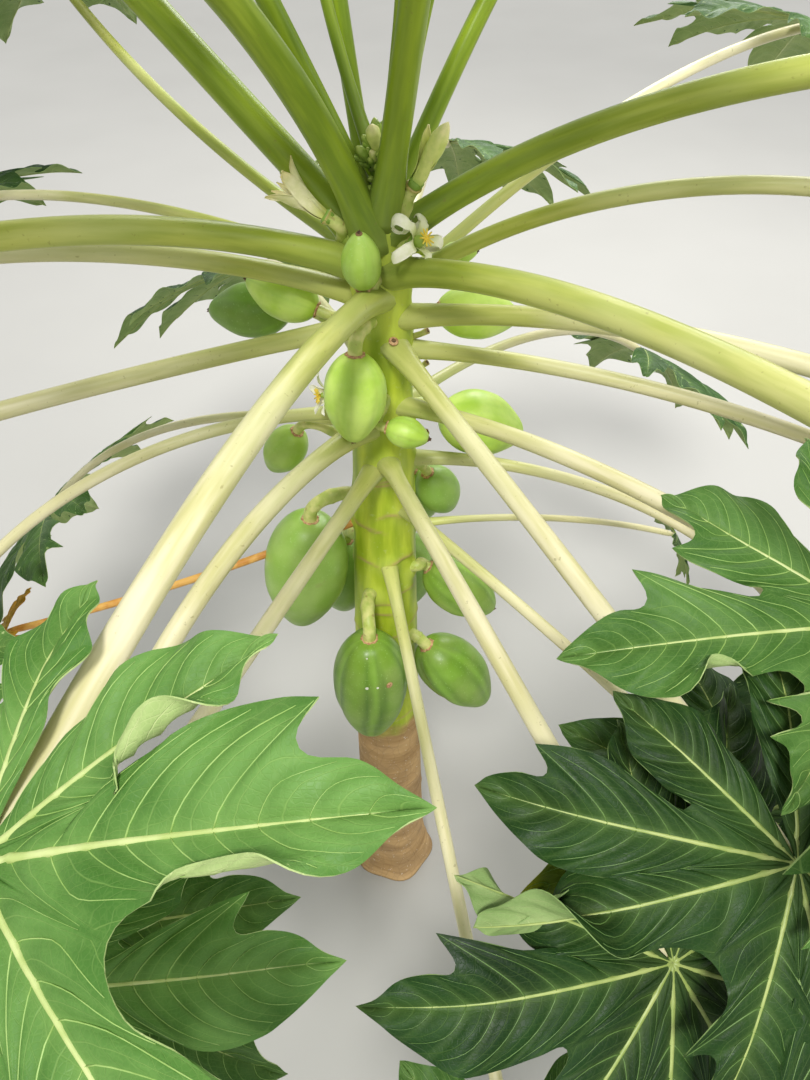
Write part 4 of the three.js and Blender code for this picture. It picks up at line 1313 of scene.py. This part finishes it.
def flower(f):
    way = heading(f.way, f.slope)
    base = beside(f.facing, f.out, f.height)
    cup_radii = [f.stem * 0.9, f.width * 0.4, f.width * 0.46, f.width * 0.36]
    parts = [
        stem_part(f, base, way, FLOWER_STEM_ARCH, 3),
        turned(base - way * 1.5, way, [0, 3, 7, 9], cup_radii, 20, 1, five_ribbed(0.12), {"along": 0.0}),
    ]
    if f.name == CLOSED_FLOWER:
        parts += closed_flower(f, base, way)
        make_piece(f.name + "_bloom", parts, [BUD_SKIN, GREEN_BUD, OLD_PETAL, PEDUNCLE], [f.name])
        return
    lean, curl, twist, wide, stretch = PETAL_LOOKS[f.name]
    for k in range(FIVE):
        out = around(way, 2 * math.pi * (k + 0.3 * seeded(k, 95)) / FIVE)
        own = seeded(k, 96) - 0.5
        long = f.length * (0.86 + 0.12 * own) * stretch
        parts.append(petal(base + way * 5 + out * f.width * 0.16, way, out, long, f.width * wide,
                           lean + 10 * own, curl * (1 + 0.7 * own), twist * (own * 4), k, 2))
    if f.name == HALF_OPEN_FLOWER:
        for k, angle in enumerate((0.6, 2.2, 4.1)):
            out = around(way, angle)
            parts.append(petal(base + way * 6, way, out, f.length * 0.78, f.width * 0.3, 4, 20, 60, k, 2))
    else:
        parts += ovary_and_stigma(f, base, way)
    skin = OLD_PETAL if f.name == HALF_OPEN_FLOWER else PETAL
    make_piece(f.name + "_bloom", parts, [BUD_SKIN, GREEN_BUD, skin, PEDUNCLE, STIGMA], [f.name])


def growing_tip():
    """The blunt core of the tip, its buds on short necks, and small side buds on each neck."""
    share = np.linspace(0, 1, 24)
    radii = TIP_RADIUS * np.interp(share, [0, 0.1, 0.5, 0.85, 1], [0.8, 0.98, 1, 0.5, 0.05])
    parts = [turned(beside(0, 0, TIP_BASE), np.array([0, 0, 1.0]), share * TIP_LENGTH, radii, 30, 1,
                    lambda turn, s: 1 + 0.1 * np.sin(3 * turn + 7 * s), {"along": share[:, None] * 0.6})]
    for i, (facing, base, slope, length, radius) in enumerate(BUDS + SMALL_BUDS):
        way = heading(facing, slope)
        start = beside(facing, 3, TIP_BASE + base)
        neck = start + way * length * 0.3
        radii = [radius * 0.4, radius * 0.34, radius * 0.5]
        parts.append(tube([start, neck - way * 2, neck + way], radii, 12, 1, {"along": 0.0}))
        parts += bud(neck, way, length * 0.7, radius * 0.9, i, 0 if i in PALE_BUDS else 1)
        for k in range(4 if i < len(BUDS) else 1):
            lean = unit(way + 0.75 * around(way, 2.1 * k + i))
            foot = start + way * length * (0.12 + 0.08 * k)
            line = [foot, foot + lean * 4, foot + lean * 7]
            parts.append(tube(line, [1.3, 1.0, 1.2], 8, 1, {"along": 0.0}))
            long = 12 + 5 * seeded(i, k, 97)
            parts += bud(foot + lean * 6, unit(lean + way * 0.5), long, 2.8, k + i, 1, 12)
    make_piece("growing_tip_buds", parts, [BUD_SKIN, GREEN_BUD], ["growing_tip"])


for i, leaf in enumerate(LEAVES):
    dress_leaf(f"leaf_{i + 1:02d}", leaf, i, [f"leaf_{i + 1:02d}"])
trunk()
for i, (f, looks) in enumerate(zip(FRUITS, FRUIT_LOOKS)):
    fruit(i + 1, f, looks)
for f in FLOWERS:
    flower(f)
growing_tip()
for i, leaf in enumerate(YOUNG_LEAVES):
    dress_leaf(f"young_leaf_{i + 1}", leaf, len(LEAVES) + i)


# Floor, lights and camera, in metres
def studio():
    paint = Paint("floor", Roughness=0.9)
    paint.done(paint.mix(paint.noise(2, 2), (160, 158, 152), (168, 166, 160)))
    bpy.ops.mesh.primitive_plane_add(size=30, location=(0, 0, -0.0005))
    floor = bpy.context.object
    floor.name = "floor"
    floor.data.materials.append(paint.material)
    world = bpy.data.worlds.new("studio")
    bpy.context.scene.world = world
    world.use_nodes = True
    sky = world.node_tree.nodes["Background"].inputs
    sky["Color"].default_value = (0.93, 0.96, 1.0, 1)
    sky["Strength"].default_value = 0.7
    for name, kind, place, aim, settings in (
        ("key", "SUN", (-0.12, -0.85, 1.3), (0, 0, 0), {"angle": 0.18, "energy": 2.5}),
        ("fill", "AREA", (2.4, -0.6, 2.6), (0, 0, 0.8), {"size": 2.4, "energy": 30}),
        ("rim", "AREA", (0.8, 2.6, 2.8), (0, 0, 1.0), {"size": 1.8, "energy": 70}),
    ):
        data = bpy.data.lights.new(name, kind)
        for key, value in settings.items():
            setattr(data, key, value)
        lamp = bpy.data.objects.new(name, data)
        bpy.context.scene.collection.objects.link(lamp)
        lamp.location = place
        lamp.rotation_euler = Vector(np.subtract(place, aim)).to_track_quat("Z", "Y").to_euler()


def camera():
    data = bpy.data.cameras.new("camera")
    data.lens = CAMERA_LENS
    data.sensor_width = CAMERA_SENSOR
    data.sensor_fit = "AUTO"
    data.clip_start = 0.02
    made = bpy.data.objects.new("camera", data)
    bpy.context.scene.collection.objects.link(made)
    made.location = CAMERA_AT
    made.rotation_euler = (math.radians(CAMERA_TILT), 0, 0)
    bpy.context.scene.camera = made


view = bpy.context.scene.view_settings
view.view_transform = "Standard"
view.exposure = EXPOSURE
studio()
camera()
